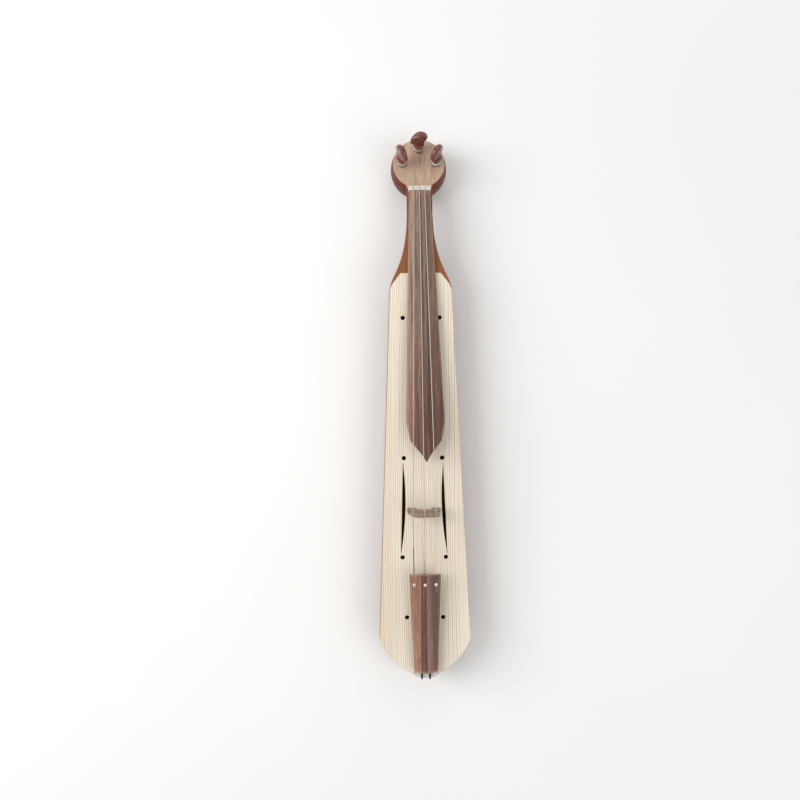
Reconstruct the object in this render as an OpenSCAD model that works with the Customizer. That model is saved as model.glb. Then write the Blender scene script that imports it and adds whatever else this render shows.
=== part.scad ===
// Three-string trough fiddle, with trough, neck and round head carved from one block of wood.
// It lies on its back: X runs across, Y towards the head and Z out of the soundboard.
// The origin is on the flat of the back, straight under the bridge.

/* [Strings] */
// Sounding length, from the bridge to the nut
string_length = 335; // [325:1:345]
// Distance between neighbouring strings at the nut
nut_spacing = 5.5; // [5:0.1:6.5]
// Distance between neighbouring strings at the bridge
bridge_spacing = 11.6; // [10:0.1:12.5]
// Distance between neighbouring strings at the tailpiece
tie_spacing = 11.2; // [9.5:0.1:11.8]
// Diameter of the low string
low_string_d = 1; // [0.8:0.05:1.2]
// Diameter of the middle string
middle_string_d = 0.85; // [0.6:0.05:1.1]
// Diameter of the high string
high_string_d = 0.7; // [0.5:0.05:0.9]
// Turns of string wound on each peg
string_turns = 4; // [3:1:5]
// Clear space between two turns on a peg
turn_gap = 0.5; // [0.45:0.05:0.6]
// Height of the lowest turn over the front of the head
coil_start = 2.5; // [2:0.1:3]

/* [Body] */
// From the bridge to the tail end
tail_reach = 174; // [170:1:180]
// Height of the rounded tail end, from its corners to its flat
tail_arc_h = 39; // [34:1:42]
// Width of the flat at the middle of the tail end
tail_flat_w = 12; // [10:1:14]
// How far past the middle line each tail curve has its centre
tail_cross = 15; // [10:1:20]
// Width across the tail corners
tail_w = 95; // [90:1:100]
// Width across the shoulders
shoulder_w = 64.6; // [60:0.2:68]
// Depth of the body, soundboard included
body_depth = 46; // [44:1:50]
// Thickness of the carved sides
side_t = 5; // [4:0.5:6]
// Thickness of the carved back
back_t = 6; // [5:0.5:8]
// Wood left solid at the tail end
tail_block_t = 14; // [12:1:18]
// Radius along the edges of the back
back_edge_r = 16; // [13:0.5:18]
// How far the sides swell out below the soundboard
side_swell = 1.2; // [0.4:0.2:2]

/* [Soundboard] */
// From the bridge to the upper edge of the soundboard
board_reach = 249; // [246:1:252]
// Thickness of the soundboard
board_t = 3.5; // [2.5:0.25:4.5]
// From the upper edge back to the shoulders
shoulder_drop = 17; // [15:1:20]
// Width of the upper edge of the soundboard
board_top_w = 42.8; // [38:0.2:46]
// Length of the cut-off upper corners of the soundboard
board_corner_l = 12; // [10:0.5:13]
// Ledge of bare body wood beside the upper corners
corner_ledge = 1.8; // [1.2:0.1:2]
// Diameter of the round sound holes
hole_d = 4.5; // [3.5:0.25:5.5]
// Places of the four pairs of round holes along the body, from the bridge
hole_rows_y = [202, 55, -49, -112]; // [-120:1:210]
// Distance of each pair of round holes from the middle line
hole_rows_x = [19.2, 20, 22.7, 18.8]; // [17:0.1:24]
// Length of the slits
slit_l = 94; // [80:1:96]
// Width of the slits at their middle
slit_w = 3.6; // [2.5:0.1:5]
// Width of the saw cut that the slits end in
slit_kerf = 0.5; // [0.4:0.1:0.8]
// Distance of the slits' straight edges from the middle line
slit_x = 22.7; // [21:0.1:25]
// Middle of the slits along the body, from the bridge
slit_y = 2.4; // [0:0.2:5]
// Lean of the slits towards the neck, in degrees
slit_lean = 1.9; // [0:0.1:3]

/* [Neck and head] */
// Width of the neck
neck_w = 27; // [26:0.5:30]
// Depth of the neck under the fingerboard
neck_depth = 20; // [18:0.5:21]
// Backward slope of the neck, in degrees
neck_slope = 4; // [3.5:0.1:4.3]
// Length of the flare from the shoulders to the neck
heel_l = 80; // [70:1:85]
// Diameter of the front of the head
head_d = 55; // [53:0.5:58]
// Thickness of the head, its plate included
head_t = 28; // [25:0.5:29]
// How far the rim of the head swells out
head_swell = 2.5; // [1.5:0.1:3]
// Backward tilt of the head, in degrees
head_tilt = 10; // [8:0.25:11]
// Thickness of the pale plate on the head
head_plate_t = 2; // [1.5:0.25:3]

/* [Pegs] */
// Diameter of a peg at the front of the head
peg_d = 8; // [7:0.1:8.5]
// Taper of a peg, as the length in which it loses one millimetre of diameter
peg_taper = 25; // [20:1:30]
// Sideways distance of the outer pegs from the middle line
peg_offset = 18; // [17:0.25:19]
// Distance of the middle peg beyond the outer two
peg_rise = 16; // [15:0.25:17]
// Bare stem of a peg between the head and the collar
peg_stem = 11; // [11:0.25:13]
// Diameter of the collar of a peg
peg_collar_d = 12; // [10:0.5:13]
// Thickness of the collar of a peg
peg_collar_t = 2.5; // [2:0.25:3.5]
// Width of the grip of a peg
grip_w = 19; // [17:0.5:20]
// Height of the grip of a peg
grip_h = 17; // [16:0.5:19]
// Thickness of the grip of a peg
grip_t = 7.5; // [6:0.25:8.5]
// Length of a peg that shows behind the head
peg_tail = 3; // [2:0.5:4]

/* [Fingerboard and nut] */
// Width of the fingerboard at the nut
finger_nut_w = 22.4; // [21:0.2:24]
// Greatest width of the fingerboard
finger_end_w = 40; // [37:0.5:42]
// Thickness of the fingerboard along its middle
finger_t = 6; // [5.5:0.1:6.5]
// Radius of the rounded top of the fingerboard
finger_r = 60; // [55:1:70]
// From the bridge to the widest place of the fingerboard
finger_wide_y = 93; // [88:1:98]
// From the bridge to the tip of the fingerboard
finger_tip_y = 52; // [48:1:56]
// Width across the cheeks of the faceted end
finger_cheek_w = 32.2; // [30:0.2:34]
// Length of the cheeks, from the widest place
finger_cheek_l = 19.5; // [17:0.5:22]
// Width across the blunt point
finger_point_w = 7.4; // [6:0.2:9]
// Length of the blunt point
finger_point_l = 6; // [5:0.5:8]
// Lean of the fingerboard towards the high string, in degrees
finger_lean = 0.65; // [0:0.05:1]
// Thickness of the nut along the strings
nut_t = 5; // [4:0.25:6]
// Height of the strings over the fingerboard at the nut
nut_lift = 1.2; // [1:0.1:1.5]
// How far the nut stands out past each edge of the fingerboard
nut_ledge = 0.6; // [0.2:0.1:1]
// Fall of the top of the nut towards the head, in degrees
nut_fall = 11.5; // [10:0.5:13]

/* [Bridge] */
// Height from the soundboard to the middle string
bridge_h = 28; // [27:0.25:30]
// Width across the feet
bridge_foot_w = 34; // [32:0.5:37]
// Width across the top
bridge_top_w = 31; // [29:0.5:32]
// Thickness
bridge_t = 5.8; // [4.8:0.2:6.2]
// Radius of the curved top
bridge_r = 45; // [40:1:55]
// Width of the gap between the feet
bridge_gap_w = 17.4; // [15:0.2:19]
// Height of the gap between the feet
bridge_gap_h = 12; // [8:0.5:13]
// Radius of the upper corners of that gap
bridge_gap_r = 2; // [1:0.25:3]

/* [Tailpiece and end pin] */
// From the bridge to the front of the tailpiece
tailpiece_gap = 63.5; // [62:0.5:65]
// Length of the tailpiece
tailpiece_l = 103.5; // [101:0.5:104]
// Width of its front end
tailpiece_front_w = 32.5; // [30:0.5:35]
// Width of its tail end
tailpiece_rear_w = 24.3; // [22:0.1:27]
// Bulge of its rounded tail end
tailpiece_bow = 1.4; // [1:0.1:1.8]
// Thickness along its middle
tailpiece_t = 8; // [7:0.25:9]
// Radius of its arched top
tailpiece_r = 42; // [38:1:50]
// Height of its front end over the soundboard
tailpiece_front_lift = 10.5; // [10:0.25:12]
// Height of its tail end over the soundboard
tailpiece_rear_lift = 2.5; // [2:0.25:3]
// Undercut of its front end, where the strings leave
tailpiece_bevel = 2.5; // [2.2:0.1:3]
// Distance of the tie holes from its front
tie_setback = 10; // [8:0.5:12]
// Diameter of the tie holes
tie_hole_d = 2; // [1.8:0.1:2.4]
// Distance from the tie holes back to the spare holes
spare_hole_gap = 5; // [4.5:0.25:7]
// Diameter of the stop beads
bead_d = 3.2; // [3:0.1:4]
// Depth of the pocket that each bead sits in
bead_sink = 0.9; // [0.8:0.1:1.2]
// Diameter of the tail gut
gut_d = 2.2; // [1.8:0.1:2.4]
// Height of the tail gut over the underside of the tailpiece
gut_lift = 2.9; // [2.6:0.1:3.2]
// Length of tail gut buried in the tailpiece
gut_bury = 10; // [8:1:14]
// Width of the saddle
saddle_w = 22; // [18:0.5:26]
// Thickness of the saddle along the strings
saddle_t = 6; // [5:0.25:7]
// Height of the saddle over the soundboard
saddle_h = 3.5; // [3:0.1:4]
// Radius of the saddle's outer edge
saddle_r = 2.9; // [2.5:0.1:3]
// Diameter of the end pin in the body
pin_d = 8; // [7:0.25:9]
// Length of the end pin in the body
pin_l = 12; // [9:0.5:13]
// Diameter of the groove that the tail gut runs in
groove_d = 6; // [5.5:0.1:6.5]
// Diameter of the end pin's head
pin_head_d = 13; // [11.5:0.5:14]
// Length of the end pin's head
pin_head_l = 5.5; // [4.5:0.25:7]
// Height of the end pin over the back
pin_z = 26; // [24:0.5:30]

/* [Inside] */
// Length of the bass bar
bar_l = 250; // [220:5:270]
// Width of the bass bar
bar_w = 5; // [4:0.5:6]
// Depth of the bass bar at its middle
bar_h = 8; // [6:0.5:10]
// Depth of the bass bar at its ends
bar_end_h = 2; // [1.5:0.25:3]
// Distance of the bass bar from the middle line
bar_x = 13; // [11:0.5:15]
// Middle of the bass bar along the body, from the bridge
bar_y = 25; // [15:1:35]
// Diameter of the sound post
post_d = 6; // [5:0.25:7]
// Distance of the sound post from the middle line
post_x = 12; // [10:0.5:14]
// Distance of the sound post behind the bridge
post_y = 9; // [7:0.5:12]

/* [Fits] */
// Gap round a peg in its hole
peg_fit = 0.05; // [0.02:0.01:0.08]
// Gap round the end pin in its hole
pin_fit = 0.03; // [0.02:0.01:0.06]
// Gap round a string in its notch
seat_clear = 0.05; // [0.03:0.01:0.1]
// Gap between a wound string and its peg
coil_clear = 0.3; // [0.25:0.05:0.4]
// Gap between the tail gut and what it runs over
gut_clear = 0.1; // [0.05:0.01:0.2]
// Gap under and round a stop bead
bead_clear = 0.03; // [0.02:0.01:0.06]

/* [Hidden] */
$fn = 72;

// Places that follow from the sizes above
rim_z = body_depth - board_t;
tail_y = -tail_reach;
flat_reach = tail_flat_w / 2 + tail_cross;
corner_reach = tail_w / 2 + tail_cross;
tail_rise = (corner_reach * corner_reach - flat_reach * flat_reach + tail_arc_h * tail_arc_h) / (2 * tail_arc_h);
tail_r = norm([flat_reach, tail_rise]);
corner_y = tail_y + tail_arc_h;
shoulder_y = board_reach - shoulder_drop;
heel_y = shoulder_y + heel_l;
nut_y = string_length;
nut_back = nut_y + nut_t * cos(neck_slope);
neck_root = 12;
strip = 0.6;
over = 1;

// Rows, corner steps and side steps of the carved block
tail_rows = 10;
heel_rows = 15;
corner_steps = 6;
side_steps = 3;

// Pull of the heel's curve, as shares of its length
heel_pull = [0.18, 0.3];

// Wound strings and swept cords
string_d = [low_string_d, middle_string_d, high_string_d];
string_name = ["low", "middle", "high"];
wind = [1, 1, -1];
loop_rings = 24;
string_sides = 6;
gut_sides = 8;
tie_bend_r = 1.4;
tie_chamfer = 1.4;
// Way that a string's end turns into its hole: rise in string diameters, and turn in degrees
end_turn = [[0.25, 15], [0.8, 30], [1.3, 42], [1.5, 52], [1.15, 58.5], [0.5, 61], [-0.5, 61]];

// Tuning positions of the three grips, in degrees
grip_turn = [-60, 20, 55];

tailpiece_front = -tailpiece_gap;
tailpiece_rear = tailpiece_front - tailpiece_l;
tailpiece_slope = atan((tailpiece_front_lift - tailpiece_rear_lift) / tailpiece_l);
tailpiece_bow_r = (tailpiece_rear_w * tailpiece_rear_w / 4 + tailpiece_bow * tailpiece_bow) / (2 * tailpiece_bow);
tie_y = tailpiece_front - tie_setback;
bevel_y = tie_y - tie_hole_d;

saddle_z = body_depth + saddle_h;
gut_x = groove_d / 2 + gut_clear + gut_d / 2;
gut_turn_r = saddle_r + gut_clear + gut_d / 2;
gut_drop_y = tail_y + saddle_r - gut_turn_r;

// Heights along the neck and the tailpiece
function neck_top(y) = body_depth - max(0, y - board_reach) * tan(neck_slope);
function along_neck(y) = (y - nut_y) / cos(neck_slope);
function tailpiece_under(y) =
    body_depth + tailpiece_rear_lift + (y - tailpiece_rear) * tan(tailpiece_slope);
function tailpiece_cut(y) =
    tailpiece_under(y) + tailpiece_bevel * max(0, (y - bevel_y) / (tailpiece_front - bevel_y));
function tailpiece_top(y) = tailpiece_under(y) + tailpiece_t;

// Small helpers
function unit(v) = v / norm(v);
function leant(p) = [
    p[0] * cos(finger_lean) - p[1] * sin(finger_lean),
    p[0] * sin(finger_lean) + p[1] * cos(finger_lean)
];
function mix(a, b, t) = a + (b - a) * t;
function ease(t) = t * t * (3 - 2 * t);
function sag(r, x) = r - sqrt(r * r - x * x);
function lane(i, gap) = (i - 1) * gap;
function bezier(a, b, c, d, t) =
    a * pow(1 - t, 3) + 3 * b * t * pow(1 - t, 2) + 3 * c * t * t * (1 - t) + d * pow(t, 3);

// Half the width of the body at the soundboard
function half_w(y) = y < corner_y
    ? sqrt(tail_r * tail_r - pow(y - tail_y - tail_rise, 2)) - tail_cross
    : mix(tail_w, shoulder_w, (y - corner_y) / (shoulder_y - corner_y)) / 2;

// Faces that join rows of n points each, with both ends closed from a point of the back
function skin(rows, n) = concat(
    [[for (k = [0 : n - 1]) (k + n / 2 - 1) % n]],
    [for (i = [0 : rows - 2], k = [0 : n - 1]) [i * n + k, i * n + n + k, i * n + n + (k + 1) % n]],
    [for (i = [0 : rows - 2], k = [0 : n - 1]) [i * n + k, i * n + n + (k + 1) % n, i * n + (k + 1) % n]],
    [[for (k = [n - 1 : -1 : 0]) (rows - 1) * n + (k + n / 2) % n]]
);

// One side of a cross-section of the block, from its top edge down to the back
function section_side(w, top, back, rx, rz, swell) = concat(
    [for (k = [0 : side_steps - 1]) let (f = k / side_steps)
        [w + swell * sin(90 * f), top - f * (top - back - rz)]],
    [for (k = [0 : corner_steps]) let (a = 90 * k / corner_steps)
        [w + swell - rx + rx * cos(a), back + rz - rz * sin(a)]]
);

// A whole cross-section at y
function section(y, w, top, back, rx, rz, swell) =
    let (side = section_side(w, top, back, rx, rz, swell), n = len(side))
    concat(
        [for (p = side) [p[0], y, p[1]]],
        [for (k = [n - 1 : -1 : 0]) [-side[k][0], y, side[k][1]]]
    );

function tail_section(a) =
    let (
        y = tail_y + tail_rise - tail_r * cos(a),
        w = tail_r * sin(a) - tail_cross,
        rise = sag(back_edge_r, max(0, back_edge_r - (y - tail_y))),
        r = min(back_edge_r, w + side_swell - strip)
    )
    section(y, w, body_depth, rise, r, r, side_swell);

function heel_section(t) =
    let (
        y = bezier(shoulder_y, shoulder_y + heel_pull[0] * heel_l, shoulder_y + heel_pull[1] * heel_l, heel_y, t),
        w = bezier(shoulder_w / 2, shoulder_w / 2 - strip, neck_w / 2 + over, neck_w / 2, t),
        swell = side_swell * (1 - t),
        back = ease(t) * (neck_top(heel_y) - neck_depth),
        rx = min(mix(back_edge_r, neck_w / 2 - strip, t), w + swell - strip)
    )
    section(y, w, neck_top(y), back, rx, mix(back_edge_r, 0.75 * neck_depth, t), swell);

function neck_section(y) =
    section(y, neck_w / 2, neck_top(y), neck_top(y) - neck_depth, neck_w / 2 - strip, 0.75 * neck_depth, 0);

// Cross-section of the hollow
function chamber_section(y) =
    let (r = back_edge_r - side_t)
    section(y, half_w(y) - side_t, rim_z + over, back_t, r, r, 0);

// Directions along a path, and a steady sideways direction carried along it
function heading(p, i) = unit(
    (i > 0 ? unit(p[i] - p[i - 1]) : [0, 0, 0]) + (i < len(p) - 1 ? unit(p[i + 1] - p[i]) : [0, 0, 0])
);
function square_off(n, t) = unit(n - (n * t) * t);
function sideways(p) = [
    for (
        i = 0, n = square_off([0.4, 0.5, 0.8], heading(p, 0));
        i < len(p);
        i = i + 1, n = i < len(p) ? square_off(n, heading(p, i)) : n
    ) n
];
function tube_points(p, d, n) =
    let (a = sideways(p))
    [for (i = [0 : len(p) - 1], k = [0 : n - 1])
        let (b = cross(heading(p, i), a[i]))
        p[i] + d / 2 * (a[i] * cos(360 * k / n) + b * sin(360 * k / n))];

// Where each string crosses the bridge and the nut
function bridge_point(i) =
    let (x = lane(i, bridge_spacing))
    [x, 0, body_depth + bridge_h - sag(bridge_r, x)];
function nut_point(i) =
    let (x = lane(i, nut_spacing), h = finger_t + nut_lift - sag(finger_r, x))
    [x, nut_y + h * sin(neck_slope), neck_top(nut_y) + h * cos(neck_slope)];

// Points given on the head: across, up the head, and out of its front
function head_point(p) = [
    p[0],
    nut_back + p[1] * cos(head_tilt) + p[2] * sin(head_tilt),
    neck_top(nut_back) - p[1] * sin(head_tilt) + p[2] * cos(head_tilt)
];
function on_head_front(p) =
    let (dy = p[1] - nut_back, dz = p[2] - neck_top(nut_back))
    [p[0], dy * cos(head_tilt) - dz * sin(head_tilt)];
function peg_spot(i) = [lane(i, peg_offset), head_d / 2 + (i == 1 ? peg_rise : 0)];

// Turns of string on a peg, from where it meets the peg to where it goes into its hole
function coil_r(i) = peg_d / 2 + coil_clear + string_d[i] / 2;
function coil_pitch(i) = string_d[i] + turn_gap;
function touch_angle(i) =
    let (d = on_head_front(nut_point(i)) - peg_spot(i))
    atan2(d[1], d[0]) + wind[i] * acos(coil_r(i) / norm(d));
function coil_point(i, r, turn) =
    let (a = touch_angle(i) + wind[i] * turn)
    [
        peg_spot(i)[0] + r * cos(a),
        peg_spot(i)[1] + r * sin(a),
        coil_start + coil_pitch(i) * turn / 360
    ];
function coil(i) = concat(
    [for (k = [0 : loop_rings * string_turns]) coil_point(i, coil_r(i), 360 * k / loop_rings)],
    [for (e = end_turn) coil_point(i, coil_r(i) + e[0] * string_d[i], 360 * string_turns + e[1])]
);
function least_gap(p, d, skip) = min([
    for (i = [0 : len(p) - 1 - skip], j = [i + skip : len(p) - 1]) norm(p[i] - p[j])
]) - d;

// Stop beads and tie holes
function bead_floor(i) = tailpiece_top(tie_y) - sag(tailpiece_r, lane(i, tie_spacing)) - bead_sink;
function bead_z(i) = bead_floor(i) + sqrt(bead_d * bead_d - tie_hole_d * tie_hole_d) / 2 + bead_clear;

function tie_bend(i) =
    let (
        x = lane(i, tie_spacing),
        z = tailpiece_cut(tie_y),
        climb = atan2(bridge_point(i)[2] - z + tie_bend_r, -tie_y - tie_bend_r)
    )
    [for (k = [0 : 6]) let (a = (90 + climb) * k / 6)
        [x, tie_y + tie_bend_r * (1 - cos(a)), z - tie_bend_r * sin(a)]];

// Direction of a string across the top of the bridge, halfway between its two runs
function bridge_way(i) =
    unit(unit(bridge_point(i) - tie_bend(i)[6]) + unit(nut_point(i) - bridge_point(i)));

// A string's whole route: bead, tie hole, bridge, nut and peg
function string_route(i) = concat(
    [[lane(i, tie_spacing), tie_y, bead_z(i) + bead_d / 2 + string_d[i] / 2]],
    tie_bend(i),
    [for (side = [-1, 1]) bridge_point(i) + side * (bridge_t / 2 + string_d[i]) * bridge_way(i)],
    [nut_point(i)],
    [for (p = coil(i)) head_point(p)]
);

// Half the tail gut's route, from inside the tailpiece over the saddle and under the end pin
function gut_half() = concat(
    [
        [gut_x, tailpiece_rear + gut_bury, tailpiece_under(tailpiece_rear + gut_bury) + gut_lift],
        [gut_x, tailpiece_rear, tailpiece_under(tailpiece_rear) + gut_lift]
    ],
    [for (a = [9 : 13.5 : 90])
        [gut_x, tail_y + saddle_r - gut_turn_r * sin(a), saddle_z - saddle_r + gut_turn_r * cos(a)]],
    [for (a = [0 : 15 : 75]) [gut_x * cos(a), gut_drop_y, pin_z - gut_x * sin(a)]]
);
function gut_route() =
    let (half = gut_half())
    concat(
        half,
        [[0, gut_drop_y, pin_z - gut_x]],
        [for (k = [len(half) - 1 : -1 : 0]) [-half[k][0], half[k][1], half[k][2]]]
    );

for (i = [0 : 2])
    echo(str("Least gap between turns of the ", string_name[i], " string: ",
        least_gap(coil(i), string_d[i], loop_rings / 2), " mm"));

// A straight round rod from a to b
module rod(a, b, d) {
    v = b - a;
    translate(a)
        rotate([0, acos(v[2] / norm(v)), atan2(v[1], v[0])])
            cylinder(h = norm(v), d = d);
}

// A cord swept along a path
module tube(path, d, n) {
    polyhedron(points = tube_points(path, d, n), faces = skin(len(path), n), convexity = 10);
}

// A solid skinned over cross-sections
module loft(rows) {
    polyhedron(points = [for (r = rows) each r], faces = skin(len(rows), len(rows[0])), convexity = 6);
}

// A profile drawn in Y and Z, given a width across
module across(width) {
    rotate([90, 0, 90])
        linear_extrude(width, center = true)
            children();
}

module on_head() {
    translate([0, nut_back, neck_top(nut_back)])
        rotate([-head_tilt, 0, 0])
            children();
}

module on_neck() {
    translate([0, nut_y, neck_top(nut_y)])
        rotate([-neck_slope, 0, 0])
            children();
}

module at_peg(i) {
    on_head()
        translate([peg_spot(i)[0], peg_spot(i)[1], 0])
            children();
}

// Tapered shaft of a peg through the head, with room round it
module peg_shaft(room, tail) {
    drop = head_t + tail;
    translate([0, 0, -drop])
        cylinder(h = drop, d1 = peg_d - drop / peg_taper + 2 * room, d2 = peg_d + 2 * room);
}

// Room for a string where it runs straight through a point
module string_notch(i, at, way, reach) {
    rod(at - reach * unit(way), at + reach * unit(way), string_d[i] + 2 * seat_clear);
}

module carved_block() {
    start = asin(flat_reach / tail_r);
    end = acos((tail_rise - tail_arc_h) / tail_r);
    loft(concat(
        [for (k = [0 : tail_rows]) tail_section(mix(start, end, k / tail_rows))],
        [for (k = [0 : heel_rows]) heel_section(k / heel_rows)],
        [neck_section(nut_back + neck_root)]
    ));
}

// Round head with a swelling rim, behind the plate on its front
module head_block() {
    middle = -(head_t + head_plate_t) / 2;
    rise = -head_plate_t - middle;
    swell_r = (head_swell * head_swell + rise * rise) / (2 * head_swell);
    translate([0, head_d / 2, 0])
        rotate_extrude()
            intersection() {
                translate([0, -head_t])
                    square([head_d, head_t - head_plate_t]);
                union() {
                    translate([max(0, head_d / 2 + head_swell - swell_r), middle])
                        circle(swell_r);
                    translate([0, -2 * head_t])
                        square([head_d / 4, 3 * head_t]);
                }
            }
}

module chamber() {
    start = tail_y + tail_block_t;
    steps = 5;
    loft(concat(
        [for (k = [0 : steps]) chamber_section(mix(start, corner_y, k / steps))],
        [chamber_section(shoulder_y - side_t)]
    ));
}

// Upper end of the soundboard, up to its edge against the neck
function board_end() = [
    [shoulder_w / 2, shoulder_y],
    [shoulder_w / 2 - corner_ledge, board_reach - board_corner_l],
    [board_top_w / 2, board_reach],
    [-board_top_w / 2, board_reach],
    [-shoulder_w / 2 + corner_ledge, board_reach - board_corner_l],
    [-shoulder_w / 2, shoulder_y]
];

module board_outline() {
    inset = tail_w / 2 - side_t;
    intersection() {
        translate([-tail_cross, tail_y + tail_rise])
            circle(tail_r);
        translate([tail_cross, tail_y + tail_rise])
            circle(tail_r);
        translate([-tail_w, tail_y])
            square([2 * tail_w, tail_arc_h]);
    }
    polygon(concat(
        [[-tail_w / 2, corner_y], [-inset, corner_y - side_t], [inset, corner_y - side_t], [tail_w / 2, corner_y]],
        board_end()
    ));
}

// Everything above the rim where the soundboard lies
module board_seat() {
    translate([0, 0, rim_z])
        linear_extrude(board_t + over)
            polygon(concat(
                [
                    [-tail_w, shoulder_y], [-tail_w, tail_y - tail_w],
                    [tail_w, tail_y - tail_w], [tail_w, shoulder_y]
                ],
                board_end()
            ));
}

module slit() {
    r = (slit_l * slit_l / 4 + slit_w * slit_w) / (2 * slit_w);
    translate([slit_x, slit_y])
        rotate(slit_lean) {
            intersection() {
                translate([r - slit_w, 0])
                    circle(r);
                translate([-2 * slit_w, -slit_l])
                    square([2 * slit_w, 2 * slit_l]);
            }
            translate([-slit_kerf, -slit_l / 2])
                square([slit_kerf, slit_l]);
        }
}

module body() {
    color("sienna")
        difference() {
            union() {
                carved_block();
                on_head()
                    head_block();
            }
            board_seat();
            chamber();
            on_head()
                translate([-head_d, 0, -head_plate_t])
                    cube([2 * head_d, 2 * head_d, head_t]);
            for (i = [0 : 2])
                at_peg(i)
                    peg_shaft(peg_fit, over);
            rod([0, tail_y - over, pin_z], [0, tail_y + pin_l + pin_fit, pin_z], pin_d + 2 * pin_fit);
        }
}

module soundboard() {
    color("wheat")
        translate([0, 0, rim_z])
            linear_extrude(board_t)
                difference() {
                    board_outline();
                    for (side = [0, 1])
                        mirror([side, 0])
                            union() {
                                slit();
                                for (k = [0 : 3])
                                    translate([hole_rows_x[k], hole_rows_y[k]])
                                        circle(d = hole_d);
                            }
                    translate([-saddle_w / 2, tail_y - over])
                        square([saddle_w, saddle_t + over]);
                }
}

module head_plate() {
    color("tan")
        difference() {
            on_head()
                translate([0, 0, -head_plate_t])
                    linear_extrude(head_plate_t)
                        union() {
                            translate([0, head_d / 2])
                                circle(d = head_d);
                            translate([-neck_w / 2, 0])
                                square([neck_w, head_d / 4]);
                        }
            for (i = [0 : 2])
                at_peg(i)
                    translate([0, 0, -head_t])
                        cylinder(h = 2 * head_t, d = peg_d + 2 * peg_fit);
        }
}

module fingerboard() {
    long = nut_y - finger_tip_y;
    half = [
        [finger_nut_w / 2, 0],
        [finger_end_w / 2, along_neck(finger_wide_y)],
        [finger_cheek_w / 2, along_neck(finger_wide_y - finger_cheek_l)],
        [finger_point_w / 2, along_neck(finger_tip_y + finger_point_l)]
    ];
    tip = [0, along_neck(finger_tip_y)];
    color("rosybrown")
        on_neck()
            intersection() {
                linear_extrude(finger_t)
                    polygon(concat(
                        [half[0]],
                        [for (p = concat(
                            [for (k = [1 : 3]) half[k]], [tip], [for (k = [3 : -1 : 1]) [-half[k][0], half[k][1]]]
                        )) leant(p)],
                        [[-half[0][0], 0]]
                    ));
                translate([0, over, finger_t - finger_r])
                    rotate([90, 0, finger_lean])
                        cylinder(h = long + 2 * finger_end_w, r = finger_r);
            }
}

module nut() {
    width = finger_nut_w + 2 * nut_ledge;
    color("ivory")
        difference() {
            on_neck()
                intersection() {
                    translate([-width / 2, 0, 0])
                        cube([width, nut_t, 2 * finger_t]);
                    translate([0, 0, finger_t + nut_lift])
                        rotate([90 - nut_fall, 0, 0])
                            translate([0, -finger_r, 0])
                                cylinder(h = 6 * nut_t, r = finger_r, center = true);
                }
            for (i = [0 : 2])
                string_notch(i, nut_point(i), head_point(coil(i)[0]) - nut_point(i), 2 * nut_t);
        }
}

module bridge() {
    color("burlywood")
        difference() {
            translate([0, 0, body_depth])
                rotate([90, 0, 0])
                    linear_extrude(bridge_t, center = true)
                        difference() {
                            intersection() {
                                polygon([
                                    [-bridge_foot_w / 2, 0], [bridge_foot_w / 2, 0],
                                    [bridge_top_w / 2, bridge_h + over], [-bridge_top_w / 2, bridge_h + over]
                                ]);
                                translate([0, bridge_h - bridge_r])
                                    circle(bridge_r);
                            }
                            polygon(concat(
                                [[-bridge_gap_w / 2, -over], [bridge_gap_w / 2, -over]],
                                [for (a = [0 : 15 : 90]) [
                                    bridge_gap_w / 2 - bridge_gap_r * (1 - cos(a)),
                                    bridge_gap_h - bridge_gap_r * (1 - sin(a))
                                ]],
                                [for (a = [90 : -15 : 0]) [
                                    -bridge_gap_w / 2 + bridge_gap_r * (1 - cos(a)),
                                    bridge_gap_h - bridge_gap_r * (1 - sin(a))
                                ]]
                            ));
                        }
            for (i = [0 : 2])
                string_notch(i, bridge_point(i), bridge_way(i), 2 * bridge_t);
        }
}

module tailpiece() {
    color("saddlebrown")
        difference() {
            intersection() {
                across(2 * tailpiece_front_w)
                    polygon([
                        [tailpiece_rear, tailpiece_under(tailpiece_rear)],
                        [bevel_y, tailpiece_under(bevel_y)],
                        [tailpiece_front, tailpiece_cut(tailpiece_front)],
                        [tailpiece_front, tailpiece_top(tailpiece_front) + over],
                        [tailpiece_rear, tailpiece_top(tailpiece_rear) + over]
                    ]);
                linear_extrude(3 * body_depth)
                    intersection() {
                        polygon([
                            [-tailpiece_front_w / 2, tailpiece_front], [tailpiece_front_w / 2, tailpiece_front],
                            [tailpiece_rear_w / 2, tailpiece_rear], [-tailpiece_rear_w / 2, tailpiece_rear]
                        ]);
                        tailpiece_end();
                    }
                tailpiece_arch();
            }
            for (i = [0 : 2])
                translate([lane(i, tie_spacing), 0, 0]) {
                    translate([0, tie_y, body_depth])
                        cylinder(h = body_depth, d = tie_hole_d);
                    translate([0, tie_y - spare_hole_gap, body_depth])
                        cylinder(h = body_depth, d = tie_hole_d);
                    translate([0, tie_y, bead_floor(i)])
                        cylinder(h = tailpiece_t, d = bead_d + 2 * bead_clear);
                    translate([0, tie_y, tailpiece_cut(tie_y) - tie_chamfer])
                        cylinder(
                            h = 2 * tie_chamfer,
                            d1 = tie_hole_d + 4 * tie_chamfer,
                            d2 = tie_hole_d
                        );
                }
            for (side = [-1, 1])
                rod(
                    [side * gut_x, tailpiece_rear - gut_d, tailpiece_under(tailpiece_rear - gut_d) + gut_lift],
                    [side * gut_x, tailpiece_rear + gut_bury + gut_clear,
                        tailpiece_under(tailpiece_rear + gut_bury + gut_clear) + gut_lift],
                    gut_d + 2 * gut_clear
                );
        }
}

// Outline that rounds the tail end of the tailpiece
module tailpiece_end() {
    translate([0, tailpiece_rear + tailpiece_bow_r]) {
        circle(tailpiece_bow_r);
        translate([-tailpiece_bow_r, 0])
            square([2 * tailpiece_bow_r, tailpiece_l]);
    }
}

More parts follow.
